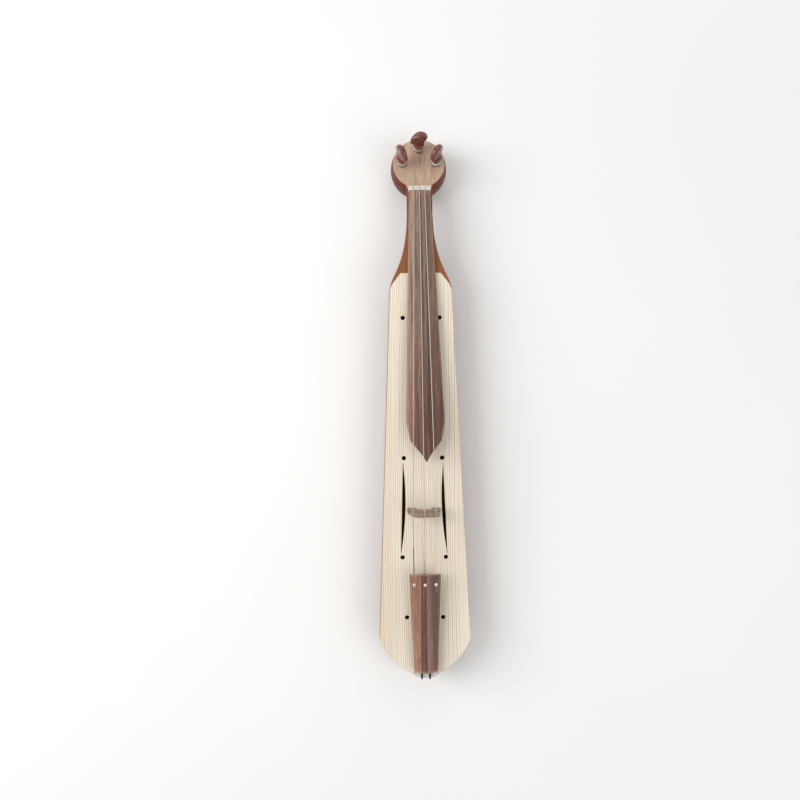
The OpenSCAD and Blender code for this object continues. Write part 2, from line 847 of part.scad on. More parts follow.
// Round bar whose upper side is the arched top of the tailpiece
module tailpiece_arch() {
    deep = tailpiece_r / cos(tailpiece_slope);
    back = tailpiece_rear - tailpiece_t;
    front = tailpiece_front + tailpiece_t;
    rod([0, back, tailpiece_top(back) - deep], [0, front, tailpiece_top(front) - deep], 2 * tailpiece_r);
}

module saddle() {
    color("ivory")
        intersection() {
            linear_extrude(2 * body_depth)
                board_outline();
            across(saddle_w)
                union() {
                    translate([tail_y, rim_z])
                        square([saddle_t, board_t + saddle_h - saddle_r]);
                    translate([tail_y + saddle_r, rim_z])
                        square([saddle_t - saddle_r, board_t + saddle_h]);
                    translate([tail_y + saddle_r, saddle_z - saddle_r])
                        circle(saddle_r);
                }
        }
}

module end_pin() {
    groove_end = gut_drop_y - gut_d / 2 - gut_clear;
    dome_r = pin_head_d;
    color("saddlebrown")
        union() {
            rod([0, tail_y, pin_z], [0, tail_y + pin_l, pin_z], pin_d);
            rod([0, tail_y + over, pin_z], [0, groove_end - over, pin_z], groove_d);
            intersection() {
                rod([0, groove_end, pin_z], [0, groove_end - pin_head_l, pin_z], pin_head_d);
                translate([0, groove_end - pin_head_l + dome_r, pin_z])
                    sphere(dome_r);
            }
        }
}

module tail_gut() {
    color("gray")
        tube(gut_route(), gut_d, gut_sides);
}

module string_beads() {
    color("white")
        for (i = [0 : 2])
            translate([lane(i, tie_spacing), tie_y, bead_z(i)])
                difference() {
                    sphere(d = bead_d);
                    cylinder(h = 2 * bead_d, d = string_d[i] + 2 * seat_clear, center = true);
                }
}

module string_low() {
    color("dimgray")
        tube(string_route(0), string_d[0], string_sides);
}

module string_middle() {
    color("khaki")
        tube(string_route(1), string_d[1], string_sides);
}

module string_high() {
    color("whitesmoke")
        tube(string_route(2), string_d[2], string_sides);
}

// Flat grip that stands on a peg's collar
module grip() {
    foot = peg_stem + peg_collar_t;
    rotate([90, 0, 0])
        linear_extrude(grip_t, center = true)
            union() {
                translate([0, foot + grip_h - grip_w / 2])
                    circle(d = grip_w);
                polygon([
                    [-peg_d / 2, peg_stem + peg_collar_t / 2], [peg_d / 2, peg_stem + peg_collar_t / 2],
                    [grip_w / 2 - over, foot + grip_h / 3], [-grip_w / 2 + over, foot + grip_h / 3]
                ]);
            }
}

module peg(i) {
    hole = coil(i)[len(coil(i)) - 1];
    color("brown")
        at_peg(i)
            difference() {
                union() {
                    peg_shaft(0, peg_tail);
                    cylinder(h = peg_stem + peg_collar_t / 4, d = peg_d);
                    translate([0, 0, peg_stem])
                        cylinder(h = peg_collar_t, d = peg_collar_d);
                    rotate([0, 0, grip_turn[i]])
                        grip();
                }
                translate([0, 0, hole[2]])
                    rotate([0, 90, atan2(hole[1] - peg_spot(i)[1], hole[0] - peg_spot(i)[0])])
                        cylinder(h = 2 * peg_d, d = string_d[i] + 2 * seat_clear, center = true);
            }
}

module sound_post() {
    color("wheat")
        translate([post_x, -post_y, back_t])
            cylinder(h = rim_z - back_t, d = post_d);
}

module bass_bar() {
    color("wheat")
        translate([-bar_x, bar_y, rim_z])
            across(bar_w)
                polygon([
                    [-bar_l / 2, 0], [-bar_l / 2, -bar_end_h], [-bar_l / 6, -bar_h],
                    [bar_l / 6, -bar_h], [bar_l / 2, -bar_end_h], [bar_l / 2, 0]
                ]);
}

body();
soundboard();
head_plate();
fingerboard();
nut();
bridge();
tailpiece();
saddle();
end_pin();
tail_gut();
string_beads();
string_low();
string_middle();
string_high();
peg(0);  // peg_low
peg(1);  // peg_middle
peg(2);  // peg_high
sound_post();
bass_bar();
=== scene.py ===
import math
from functools import partial

import bmesh
import bpy
from mathutils import Matrix, Vector
from mathutils.geometry import delaunay_2d_cdt


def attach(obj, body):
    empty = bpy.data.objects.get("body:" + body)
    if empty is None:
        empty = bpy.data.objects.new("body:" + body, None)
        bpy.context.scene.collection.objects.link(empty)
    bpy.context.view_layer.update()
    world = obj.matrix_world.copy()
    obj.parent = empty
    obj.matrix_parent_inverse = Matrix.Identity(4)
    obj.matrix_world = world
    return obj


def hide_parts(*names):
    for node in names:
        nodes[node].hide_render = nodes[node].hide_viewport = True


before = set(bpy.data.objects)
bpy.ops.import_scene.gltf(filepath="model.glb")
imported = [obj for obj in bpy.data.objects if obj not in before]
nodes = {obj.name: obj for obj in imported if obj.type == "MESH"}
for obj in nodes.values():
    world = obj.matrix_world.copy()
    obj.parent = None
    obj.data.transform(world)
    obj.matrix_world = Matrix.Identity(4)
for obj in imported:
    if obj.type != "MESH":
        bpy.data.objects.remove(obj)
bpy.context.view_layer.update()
scene = bpy.context.scene
mm = 0.001
print("frame loaded,", len(nodes), "nodes")


# camera straight above, a little towards the head and to the left of the strings
cameraView = {
    "place": (-0.0233, 0.116, 0.786), "roll": -0.0134, "lens": 31.8, "sensor": 36.0, "nearest": 0.01,
}
cameraData = bpy.data.cameras.new("camera")
cameraData.lens = cameraView["lens"]
cameraData.sensor_width = cameraView["sensor"]
cameraData.clip_start = cameraView["nearest"]
camera = bpy.data.objects.new("camera", cameraData)
camera.location = cameraView["place"]
camera.rotation_euler = (0, 0, cameraView["roll"])
scene.collection.objects.link(camera)
scene.camera = camera
scene.view_settings.view_transform = "Standard"


# small tools for numbers and outlines
def mix(a, b, t):
    return a + (b - a) * t


def evenly(a, b, count):
    return [mix(a, b, k / count) for k in range(count + 1)]


def asShare(t):
    return min(1, max(0, t))


def sag(r, x):
    # how far an arc of radius r has dropped at x from its top
    return r - math.sqrt(r * r - x * x)


def arcR(half, rise):
    # radius of the arc that rises this much over half its chord
    return (half ** 2 + rise ** 2) / (2 * rise)


def bezier(a, b, c, d, t):
    return a * (1 - t) ** 3 + 3 * b * t * (1 - t) ** 2 + 3 * c * t * t * (1 - t) + d * t ** 3


def sin(degrees):
    return math.sin(math.radians(degrees))


def cos(degrees):
    return math.cos(math.radians(degrees))


def mirrored(points):
    return [(-p[0], *p[1:]) for p in reversed(points)]


def moved(points, matrix):
    return [tuple(matrix @ Vector(p)) for p in points]


def roundHole(x, y, r, steps=36):
    # clockwise, as a hole in a plate runs
    return [(x + r * cos(-360 / steps * k), y + r * sin(-360 / steps * k)) for k in range(steps)]


def insideLoop(x, y, loop):
    hit = False
    for (x1, y1), (x2, y2) in zip(loop, loop[1:] + loop[:1]):
        if (y1 > y) != (y2 > y) and x < (x2 - x1) * (y - y1) / (y2 - y1) + x1:
            hit = not hit
    return hit


def insetLoop(loop, d, leastSquare=0.5):
    # moves a loop to its left by d: into a plate whose outline runs anticlockwise and holes clockwise
    out = []
    for i, p in enumerate(loop):
        before = (Vector(p) - Vector(loop[i - 1])).normalized()
        after = (Vector(loop[(i + 1) % len(loop)]) - Vector(p)).normalized()
        way = Vector((-before.y - after.y, before.x + after.x)).normalized()
        square = max(leastSquare, way.x * -before.y + way.y * before.x)
        out.append((p[0] + way.x * d / square, p[1] + way.y * d / square))
    return out


# small tools for meshes
rub = {"from": 0.2, "over": 0.3}  # radians of turn at which a finish starts to wear, and over which it goes


def smoothFaces(piece, sharp):
    piece.data.polygons.foreach_set("use_smooth", [True] * len(piece.data.polygons))
    piece.data.set_sharp_from_angle(angle=math.radians(sharp))


def addMesh(name, points, faces, material, sharp=35, uvs=None):
    mesh = bpy.data.meshes.new(name)
    mesh.from_pydata([Vector(p) * mm for p in points], [], faces)
    mesh.materials.append(material)
    if uvs:
        layer = mesh.uv_layers.new(name="along")
        for loop in mesh.loops:
            layer.data[loop.index].uv = uvs[loop.vertex_index]
    work = bmesh.new()
    work.from_mesh(mesh)
    bmesh.ops.recalc_face_normals(work, faces=work.faces)
    work.to_mesh(mesh)
    work.free()
    piece = bpy.data.objects.new(name, mesh)
    scene.collection.objects.link(piece)
    smoothFaces(piece, sharp)
    return piece


def markEdges(piece):
    # how sharp the surface turns at each point, for rubbed edges, and on the bridge grime and painted shade
    work = bmesh.new()
    work.from_mesh(piece.data)
    layer = work.verts.layers.float.new("edge")
    for point in work.verts:
        turns = [edge.calc_face_angle_signed(0) for edge in point.link_edges if len(edge.link_faces) == 2]
        point[layer] = asShare((max(turns, default=0) - rub["from"]) / rub["over"])
    work.to_mesh(piece.data)
    work.free()


def standFor(piece, node, body, slot):
    markEdges(piece)
    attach(piece, body)
    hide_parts(node)
    return piece


def loftFaces(rows, count):
    sides = [
        (i * count + k, i * count + (k + 1) % count, (i + 1) * count + (k + 1) % count, (i + 1) * count + k)
        for i in range(rows - 1) for k in range(count)
    ]
    last = (rows - 1) * count
    return sides + [tuple(range(count - 1, -1, -1)), tuple(range(last, last + count))]


def loftPiece(name, rows, material, sharp=35):
    points = [p for row in rows for p in row]
    return addMesh(name, points, loftFaces(len(rows), len(rows[0])), material, sharp)


def prismMesh(outline, low, high):
    return [(x, y, z) for z in (low, high) for x, y in outline], loftFaces(2, len(outline))


def turnedPoints(profile, steps):
    rows = []
    for k in range(steps):
        a = 2 * math.pi * k / steps
        rows.append([(r * math.cos(a), r * math.sin(a), z) for r, z in profile])
    return rows


def turnedMesh(profile, steps):
    # a profile of (radius, height) turned about Z, both its ends on the axis
    n = len(profile) - 2
    points = [(0, 0, profile[0][1]), (0, 0, profile[-1][1])]
    for row in turnedPoints(profile[1:-1], steps):
        points += row
    faces = []
    for k in range(steps):
        a, b = 2 + k * n, 2 + (k + 1) % steps * n
        faces += [(a + j, b + j, b + j + 1, a + j + 1) for j in range(n - 1)]
        faces += [(0, b, a), (1, a + n - 1, b + n - 1)]
    return points, faces


def plateMesh(loops, thickness, rounds, rim=0.5, round45=0.3, wall=0.4, thinnest=1e-3):
    # flat plate from an outline and its holes, each loop with its own edge radius
    points, faces, ends = [], [], [[], []]
    for loop, r in zip(loops, rounds):
        low = [(r + rim, 0), (r, 0), (round45 * r, round45 * r), (0, r), (0, r + wall)]
        steps = low + [(inset, thickness - z) for inset, z in reversed(low)]
        start, n = len(points), len(loop)
        for inset, z in steps:
            points += [(x, y, z) for x, y in insetLoop(loop, inset)]
        for i in range(len(steps) - 1):
            for k in range(n):
                a, b = start + i * n + k, start + i * n + (k + 1) % n
                faces.append((a, b, b + n, a + n))
        ends[0].append(list(range(start, start + n)))
        ends[1].append(list(range(start + (len(steps) - 1) * n, start + len(steps) * n)))
    for level in ends:
        flat = [i for ring in level for i in ring]
        spots = [Vector(points[i][:2]) for i in flat]
        edges, at = [], 0
        for ring in level:
            edges += [(at + k, at + (k + 1) % len(ring)) for k in range(len(ring))]
            at += len(ring)
        outlines = [[points[i][:2] for i in ring] for ring in level]
        found = delaunay_2d_cdt(spots, edges, [], 0, 1e-6)
        for face in found[2]:
            a, b, c = [found[0][i] for i in face]
            if abs((b - a).cross(c - a)) < thinnest:  # three points in a row
                continue
            x, y = (a + b + c) / 3
            if sum(insideLoop(x, y, outline) for outline in outlines) % 2:
                faces.append(tuple(flat[found[3][i][0]] for i in face))
    return points, faces


def cutPiece(piece, tool, operation="DIFFERENCE", weld=0.002, thinnest=0.001):
    change = piece.modifiers.new("cut", "BOOLEAN")
    change.object = tool
    change.operation = operation
    change.solver = "EXACT"
    change.material_mode = "TRANSFER"
    bpy.context.view_layer.update()
    ready = piece.evaluated_get(bpy.context.evaluated_depsgraph_get())
    mesh = bpy.data.meshes.new_from_object(ready)
    clean = bmesh.new()
    clean.from_mesh(mesh)
    bmesh.ops.remove_doubles(clean, verts=clean.verts, dist=weld * mm)
    bmesh.ops.dissolve_degenerate(clean, edges=clean.edges, dist=thinnest * mm)
    clean.to_mesh(mesh)
    clean.free()
    piece.modifiers.clear()
    piece.data = mesh
    bpy.data.objects.remove(tool)


# small tools for materials
def srgb(hexText):
    parts = [int(hexText[i:i + 2], 16) / 255 for i in (1, 3, 5)]
    return tuple(c / 12.92 if c <= 0.04045 else ((c + 0.055) / 1.055) ** 2.4 for c in parts) + (1.0,)


def plug(node, inputs):
    # an input takes a value, a hex colour, a socket, or a node, which stands for its first output in use
    for key, value in inputs.items():
        if isinstance(value, bpy.types.Node):
            value = next(socket for socket in value.outputs if socket.enabled)
        if isinstance(value, str):
            value = srgb(value)
        if isinstance(value, bpy.types.NodeSocket):
            node.id_data.links.new(value, node.inputs[key])
        else:
            node.inputs[key].default_value = value


def addNode(tree, kind, inputs=None, **settings):
    # inputs by number: Map Range goes from 1..2 to 3..4, and Mix blends colours 6 and 7
    node = tree.nodes.new("ShaderNode" + kind)
    for key, value in settings.items():
        setattr(node, key, value)
    plug(node, inputs or {})
    return node


def setRamp(node, stops):
    ramp = node.color_ramp
    for place, colour in stops[1:-1]:
        ramp.elements.new(place)
    ramp.elements[0].position = stops[0][0]
    ramp.elements[-1].position = stops[-1][0]
    for element, (place, colour) in zip(ramp.elements, stops):
        element.color = srgb(colour) if isinstance(colour, str) else (colour, colour, colour, 1)
    return node


def newMaterial(name):
    material = bpy.data.materials.new(name)
    material.use_nodes = True
    material.node_tree.nodes.clear()
    add = partial(addNode, material.node_tree)
    surface = add("BsdfPrincipled")
    add("OutputMaterial", {"Surface": surface})
    place = add("TexCoord").outputs["Object"]
    inMm = add("VectorMath", {0: place, 1: (1000, 1000, 1000)}, operation="MULTIPLY")
    return material, add, surface, inMm


def fibrePattern(add, place, perMm, detail, roughness=0.5):
    # fibres, streaks, pores or clouds, with so many to the millimetre across and along the piece
    space = add("VectorMath", {0: place, 1: perMm}, operation="MULTIPLY")
    return add("TexNoise", {"Vector": space, "Scale": 1.0, "Detail": detail, "Roughness": roughness})


def tinted(add, colour, tones):
    for tone in tones:
        colour = add("VectorMath", {0: colour, 1: tone}, operation="MULTIPLY")
    return colour


# the edges markEdges found take another colour: rubbed wear on most woods, grime and painted shade on the
# bridge
def rubbedAndShadedEdges(add, colour, worn, share):
    edge = add("Attribute", attribute_name="edge")
    rubbed = add("Math", {0: edge.outputs["Fac"], 1: share}, operation="MULTIPLY", use_clamp=True)
    return add("Mix", {0: rubbed, 6: colour, 7: worn}, data_type="RGBA")


# materials
# planed pine: cream early wood, thin honey-brown late wood lines along the board, warmer at the bark edge
boardPine = {
    "line": 2.3, "wander": 14.0, "cream": "#F0E7D6", "shade": "#E1D7C5", "honey": "#B1926B",
    "warm": "#E6C59B", "warmFrom": -36, "warmTo": -47, "worn": "#C9B392", "rough": 0.55,
}


def makePine(name, look):
    material, add, surface, place = newMaterial(name)
    drift = fibrePattern(add, place, (0.02, 0.0035, 0.02), 3.0)
    axes = add("SeparateXYZ", {0: place})
    bend = add("Math", {0: drift, 1: look["wander"], 2: axes.outputs["X"]}, operation="MULTIPLY_ADD")
    lines = add("Math", {0: bend, 1: look["line"]}, operation="DIVIDE")
    spread = add("TexNoise", {"W": lines, "Scale": 0.4, "Detail": 1.0}, noise_dimensions="1D")
    uneven = add("Math", {0: spread, 1: 0.9, 2: lines}, operation="MULTIPLY_ADD")
    ringPart = add("Math", {0: uneven}, operation="FRACT")
    ringCount = add("Math", {0: uneven}, operation="FLOOR")
    ringTone = add("TexWhiteNoise", {"W": ringCount}, noise_dimensions="1D")
    lateWood = setRamp(
        add("ValToRGB", {0: ringPart}),
        [(0.0, 0.0), (0.4, 0.04), (0.66, 0.3), (0.82, 1.0), (0.93, 0.9), (1.0, 0.0)],
    )
    toneShare = add("MapRange", {0: ringTone, 3: 0.38, 4: 0.76})
    late = add("Math", {0: lateWood, 1: toneShare}, operation="MULTIPLY")
    fibre = fibrePattern(add, place, (4.0, 0.05, 4.0), 4.0, 0.6)
    cloud = fibrePattern(add, place, (0.05, 0.006, 0.05), 3.0)
    cloudShare = add("MapRange", {0: cloud, 1: 0.35, 2: 0.68})
    early = add("Mix", {0: cloudShare, 6: look["cream"], 7: look["shade"]}, data_type="RGBA")
    # the lines wander to one side, on the whole by half their reach
    barkFrom, barkTo = look["warmFrom"] + look["wander"] / 2, look["warmTo"] + look["wander"] / 2
    barkSide = add("MapRange", {0: bend, 1: barkFrom, 2: barkTo, 3: 0.0, 4: 0.6})
    warmed = add("Mix", {0: barkSide, 6: early, 7: look["warm"]}, data_type="RGBA")
    lined = add("Mix", {0: late, 6: warmed, 7: look["honey"]}, data_type="RGBA")
    fibreTone = add("MapRange", {0: fibre, 1: 0.3, 2: 0.7, 3: 0.91, 4: 1.04})
    worn = rubbedAndShadedEdges(add, tinted(add, lined, [fibreTone]), look["worn"], fibre)
    height = add("Math", {0: late, 1: 0.6, 2: fibre}, operation="MULTIPLY_ADD")
    bump = add("Bump", {"Height": height, "Strength": 0.25, "Distance": 0.00015})
    rough = add("MapRange", {0: fibre, 1: 0.3, 2: 0.7, 3: look["rough"] - 0.06, 4: look["rough"] + 0.08})
    plug(surface, {"Base Color": worn, "Roughness": rough, "Normal": bump, "IOR": 1.45})
    return material


# oiled walnut: bands of brown and grey-brown across the board, fine streaks and short dark pores along it,
# a low sheen
fingerWalnut = {
    "streak": 3.0, "wave": 6.0, "pore": 0.5, "rough": 0.4, "contrast": (0.62, 1.3), "worn": "#A98668",
    "from": 100, "to": 240, "near": "#C6A69A", "far": "#FBFAF9", "poreTone": "#2E1E18",
    # the bands darken towards the right edge: partly the walnut's own colour, partly painted shade on the
    # side away from the light
    "bands": [
        (-20, "#9C7558"), (-15, "#A98569"), (-11, "#8F7060"), (-8, "#A68A79"), (-5, "#765C52"),
        (-2, "#987F71"), (1, "#765C51"), (4, "#8B7266"), (7, "#664D45"), (11, "#816556"), (15, "#7C6050"),
        (20, "#5E463C"),
    ],
}
tailWalnut = {
    "streak": 4.0, "wave": 2.0, "pore": 0.5, "rough": 0.3, "contrast": (0.78, 1.14), "worn": "#B08B70",
    # the tone lightens and greys towards the rear end: partly the wood's tone, partly a painted sheen
    "from": -170, "to": -65, "near": "#F8EEEA", "far": "#E9D6CA", "poreTone": "#2E1E18", "fan": 0.45,
    # past the dark heart the bands darken towards the right edge: partly darker heartwood, partly painted
    # shade on the side away from the light
    "bands": [
        (-24, "#8E694E"), (-9, "#A37F68"), (-4.7, "#96705A"), (-3.7, "#331B17"), (-2.7, "#704A3E"),
        (-1.2, "#7C5548"), (-0.2, "#2F1815"), (0.9, "#744F46"), (3.5, "#9C7A72"), (6.5, "#8F6D64"),
        (9.5, "#6B4A3E"), (12.5, "#4F352B"), (24, "#452C23"),
    ],
}


def makeWalnut(name, look):
    material, add, surface, place = newMaterial(name)
    drift = fibrePattern(add, place, (0.02, 0.012, 0.02), 3.0)
    centred = add("Math", {0: drift, 1: 0.5}, operation="SUBTRACT")
    axes = add("SeparateXYZ", {0: place})
    bend = add("Math", {0: centred, 1: look["wave"], 2: axes.outputs["X"]}, operation="MULTIPLY_ADD")
    bent = add("CombineXYZ", {0: bend, 1: axes.outputs["Y"], 2: axes.outputs["Z"]})
    # the bands may spread towards one end of the board, and its tone changes along it
    along = add("MapRange", {0: axes.outputs["Y"], 1: look["from"], 2: look["to"]})
    fanned = bend
    if "fan" in look:
        spread = add("Math", {0: along, 1: look["fan"]}, operation="MULTIPLY")
        rightOnly = add("Math", {0: bend, 1: 0.0}, operation="MAXIMUM")
        fanned = add("Math", {0: rightOnly, 1: spread, 2: bend}, operation="MULTIPLY_ADD")
    low, high = look["bands"][0][0], look["bands"][-1][0]
    across = add("MapRange", {0: fanned, 1: low, 2: high})
    stops = [((x - low) / (high - low), tone) for x, tone in look["bands"]]
    bands = setRamp(add("ValToRGB", {0: across}), stops)
    lengthTone = add("Mix", {0: along, 6: look["near"], 7: look["far"]}, data_type="RGBA")
    streaks = fibrePattern(add, bent, (1 / look["streak"], 0.004, 0.12), 5.0, 0.65)
    weak, strong = look["contrast"]
    streakTone = add("MapRange", {0: streaks, 1: 0.38, 2: 0.62, 3: weak, 4: strong})
    hairLines = fibrePattern(add, bent, (0.8, 0.01, 0.8), 3.0, 0.55)
    hairTone = add("MapRange", {0: hairLines, 1: 0.4, 2: 0.6, 3: 0.76, 4: 1.14})
    pores = fibrePattern(add, bent, (1 / look["pore"], 0.14, 1 / look["pore"]), 1.0)
    poreMask = add("MapRange", {0: pores, 1: 0.6, 2: 0.72})
    lined = tinted(add, bands, [lengthTone, streakTone, hairTone])
    poreShare = add("Math", {0: poreMask, 1: 0.5}, operation="MULTIPLY")
    pored = add("Mix", {0: poreShare, 6: lined, 7: look["poreTone"]}, data_type="RGBA")
    worn = rubbedAndShadedEdges(add, pored, look["worn"], hairLines)
    height = add("Math", {0: poreMask, 1: -0.8, 2: hairLines}, operation="MULTIPLY_ADD")
    bump = add("Bump", {"Height": height, "Strength": 0.3, "Distance": 0.00015})
    rough = add("MapRange", {0: hairLines, 1: 0.3, 2: 0.7, 3: look["rough"] + 0.1, 4: look["rough"] - 0.05})
    plug(surface, {"Base Color": worn, "Roughness": rough, "Normal": bump, "IOR": 1.48})
    return material


# carved hardwoods: close grain along the block, cloudy colour, faint knife facets and rubbed edges under a
# finish; on the bridge the edges go dark instead, with grime and painted shade
carvedAlder = {
    "dark": "#4A1F10", "mid": "#73371B", "light": "#93522B", "worn": "#A96E42", "rough": 0.42, "coat": 0.1,
    "grain": 1.1, "ring": 3.4, "heart": (16, 0, -85), "tool": 9.0, "knife": 0.2, "rub": 1.0, "shine": 0.25,
    # tone towards the head: partly a deeper varnish, partly painted shade
    "stainAndShade": "#F0BC9E", "stainAndShadeFrom": 300, "stainAndShadeTo": 345,
}
plumPeg = {
    "dark": "#4A1D13", "mid": "#763424", "light": "#91472F", "worn": "#A05A40", "rough": 0.3, "coat": 0.35,
    "grain": 0.7, "ring": 1.7, "heart": (-60, 0, 20), "tool": 4.0, "knife": 0.12, "rub": 1.0, "shine": 0.5,
}
birchFace = {
    "dark": "#B59279", "mid": "#CDAC92", "light": "#D8BCA2", "worn": "#A6846B", "rough": 0.5, "coat": 0.05,
    "grain": 0.9, "ring": 2.6, "heart": (-70, 0, 40), "tool": 12.0, "knife": 0.08, "rub": 1.0, "shine": 0.5,
}
# the bridge's edges go dark brown: handling grime and painted shade along its outline
mapleBridge = {
    "dark": "#7C6651", "mid": "#A28A72", "light": "#B69E86", "worn": "#54432F", "rough": 0.5, "coat": 0.0,
    "grain": 0.6, "ring": 1.5, "heart": (8, 90, -40), "tool": 6.0, "knife": 0.12, "rub": 2.4, "shine": 0.5,
}
bareAlder = {
    "dark": "#7C5233", "mid": "#9C7049", "light": "#B0855C", "worn": "#B98E66", "rough": 0.7, "coat": 0.0,
    "grain": 1.1, "ring": 3.4, "heart": (16, 0, -85), "tool": 7.0, "knife": 0.6, "rub": 1.0, "shine": 0.5,
}


def makeHardwood(name, look):
    material, add, surface, place = newMaterial(name)
    drift = fibrePattern(add, place, (0.045, 0.008, 0.045), 2.0).outputs["Color"]
    pushed = add("VectorMath", {0: drift, 1: (9.0, 0.0, 9.0), 2: place}, operation="MULTIPLY_ADD")
    # growth rings about a heart low down and to one side, so the sides show lines and the ends show arcs
    eased = add("VectorMath", {0: drift, 1: (5.0, 0.0, 5.0), 2: place}, operation="MULTIPLY_ADD")
    fromHeart = add("VectorMath", {0: eased, 1: look["heart"]}, operation="SUBTRACT")
    flattened = add("VectorMath", {0: fromHeart, 1: (1.0, 0.03, 1.0)}, operation="MULTIPLY")
    heartR = add("VectorMath", {0: flattened}, operation="LENGTH")
    # the figure follows the rings: long streaks on the sides, arcs on the end grain
    parts = add("SeparateXYZ", {0: fromHeart})
    turn = add("Math", {0: parts.outputs["Z"], 1: parts.outputs["X"]}, operation="ARCTAN2")
    polar = add("CombineXYZ", {0: heartR, 1: parts.outputs["Y"], 2: turn})
    figure = fibrePattern(add, polar, (0.24 / look["grain"], 0.006, 4.0), 5.0, 0.58)
    stops = [(0.26, look["dark"]), (0.5, look["mid"]), (0.74, look["light"])]
    figureTone = setRamp(add("ValToRGB", {0: figure}), stops)
    ringCount = add("Math", {0: heartR, 1: look["ring"]}, operation="DIVIDE")
    ringPart = add("Math", {0: ringCount}, operation="FRACT")
    ringTone = setRamp(add("ValToRGB", {0: ringPart}), [(0.0, 1.0), (0.5, 0.93), (0.88, 0.7), (1.0, 1.0)])
    hairLines = fibrePattern(add, pushed, (2.4 / look["grain"], 0.03, 2.4 / look["grain"]), 3.0, 0.6)
    hairTone = add("MapRange", {0: hairLines, 1: 0.35, 2: 0.66, 3: 0.84, 4: 1.06})
    tones = [ringTone, hairTone]
    if "stainAndShade" in look:
        # darker and redder towards the head: partly a deeper varnish, partly painted shade on the head
        axes = add("SeparateXYZ", {0: place})
        along = add("MapRange", {0: axes.outputs["Y"], 1: look["stainAndShadeFrom"], 2: look["stainAndShadeTo"]})
        tones.append(add("Mix", {0: along, 6: (1, 1, 1, 1), 7: look["stainAndShade"]}, data_type="RGBA"))
    rubAndShadeShare = add("MapRange", {0: hairLines, 3: 0.0, 4: look["rub"]})
    worn = rubbedAndShadedEdges(add, tinted(add, figureTone, tones), look["worn"], rubAndShadeShare)
    # soft cells a tool's width across stand for the knife's facets
    perTool = (1 / look["tool"], 0.4 / look["tool"], 1 / look["tool"])
    toolSpace = add("VectorMath", {0: place, 1: perTool}, operation="MULTIPLY")
    facets = add("TexVoronoi", {"Vector": toolSpace, "Scale": 1.0, "Smoothness": 0.6}, feature="SMOOTH_F1")
    knife = add("Bump", {"Height": facets, "Strength": look["knife"], "Distance": 0.0006})
    bump = add("Bump", {"Height": hairLines, "Strength": 0.15, "Distance": 0.00012, "Normal": knife})
    rough = add("MapRange", {0: hairLines, 1: 0.3, 2: 0.7, 3: look["rough"] + 0.08, 4: look["rough"] - 0.04})
    plug(surface, {"Base Color": worn, "Roughness": rough, "Normal": bump, "IOR": 1.48})
    plug(surface, {"Specular IOR Level": look["shine"], "Coat Weight": look["coat"], "Coat Roughness": 0.16})
    return material


# polished bone: off-white with faint yellow clouds and fine dark nerve lines
boneLook = {"white": "#D3D0CE", "yellow": "#C6BDB0", "rough": 0.3}


def makeBone(name, look):
    material, add, surface, place = newMaterial(name)
    cloud = fibrePattern(add, place, (0.25, 0.25, 0.25), 3.0)
    base = setRamp(add("ValToRGB", {0: cloud}), [(0.4, look["white"]), (0.7, look["yellow"])])
    nerves = fibrePattern(add, place, (0.35, 2.6, 2.6), 1.0)
    nerveTone = add("MapRange", {0: nerves, 1: 0.64, 2: 0.74, 3: 1.0, 4: 0.72})
    bump = add("Bump", {"Height": nerves, "Strength": 0.12, "Distance": 0.0001})
    rough = add("MapRange", {0: cloud, 3: look["rough"] - 0.05, 4: look["rough"] + 0.1})
    colour = tinted(add, base, [nerveTone])
    plug(surface, {"Base Color": colour, "Roughness": rough, "Normal": bump, "IOR": 1.55})
    return material


# strings: a pale silver-wound one, a pale gut one and a white nylon one, two of them with silk thread round
# their tail ends; the winding is drawn at twice its real pitch of 0.25 mm, or it would not show
lowWinding = {
    "turn": 0.5, "dark": "#9C9385", "light": "#CDC5B7", "rough": 0.4, "metal": 0.6, "depth": 0.5,
    "silk": "#4A3A30", "silkDark": "#2A201B", "silkTo": 50, "silkFade": 1.5, "silkMatt": 0.35,
}
gutTwist = {
    "turn": 3.2, "dark": "#B3A188", "light": "#D3C5AC", "rough": 0.36, "metal": 0.0, "depth": 0.15,
    "silk": "#A88880", "silkDark": "#7E5F59", "silkTo": 38, "silkFade": 1.5, "silkMatt": 0.35,
}
whiteTwist = {"turn": 4.0, "dark": "#B9B5AE", "light": "#DFDCD6", "rough": 0.3, "metal": 0.0, "depth": 0.06}
# braided nylon for the tail: near black, a little sheen
cordTwist = {"turn": 1.2, "dark": "#16130F", "light": "#332B24", "rough": 0.45, "metal": 0.0, "depth": 0.25}


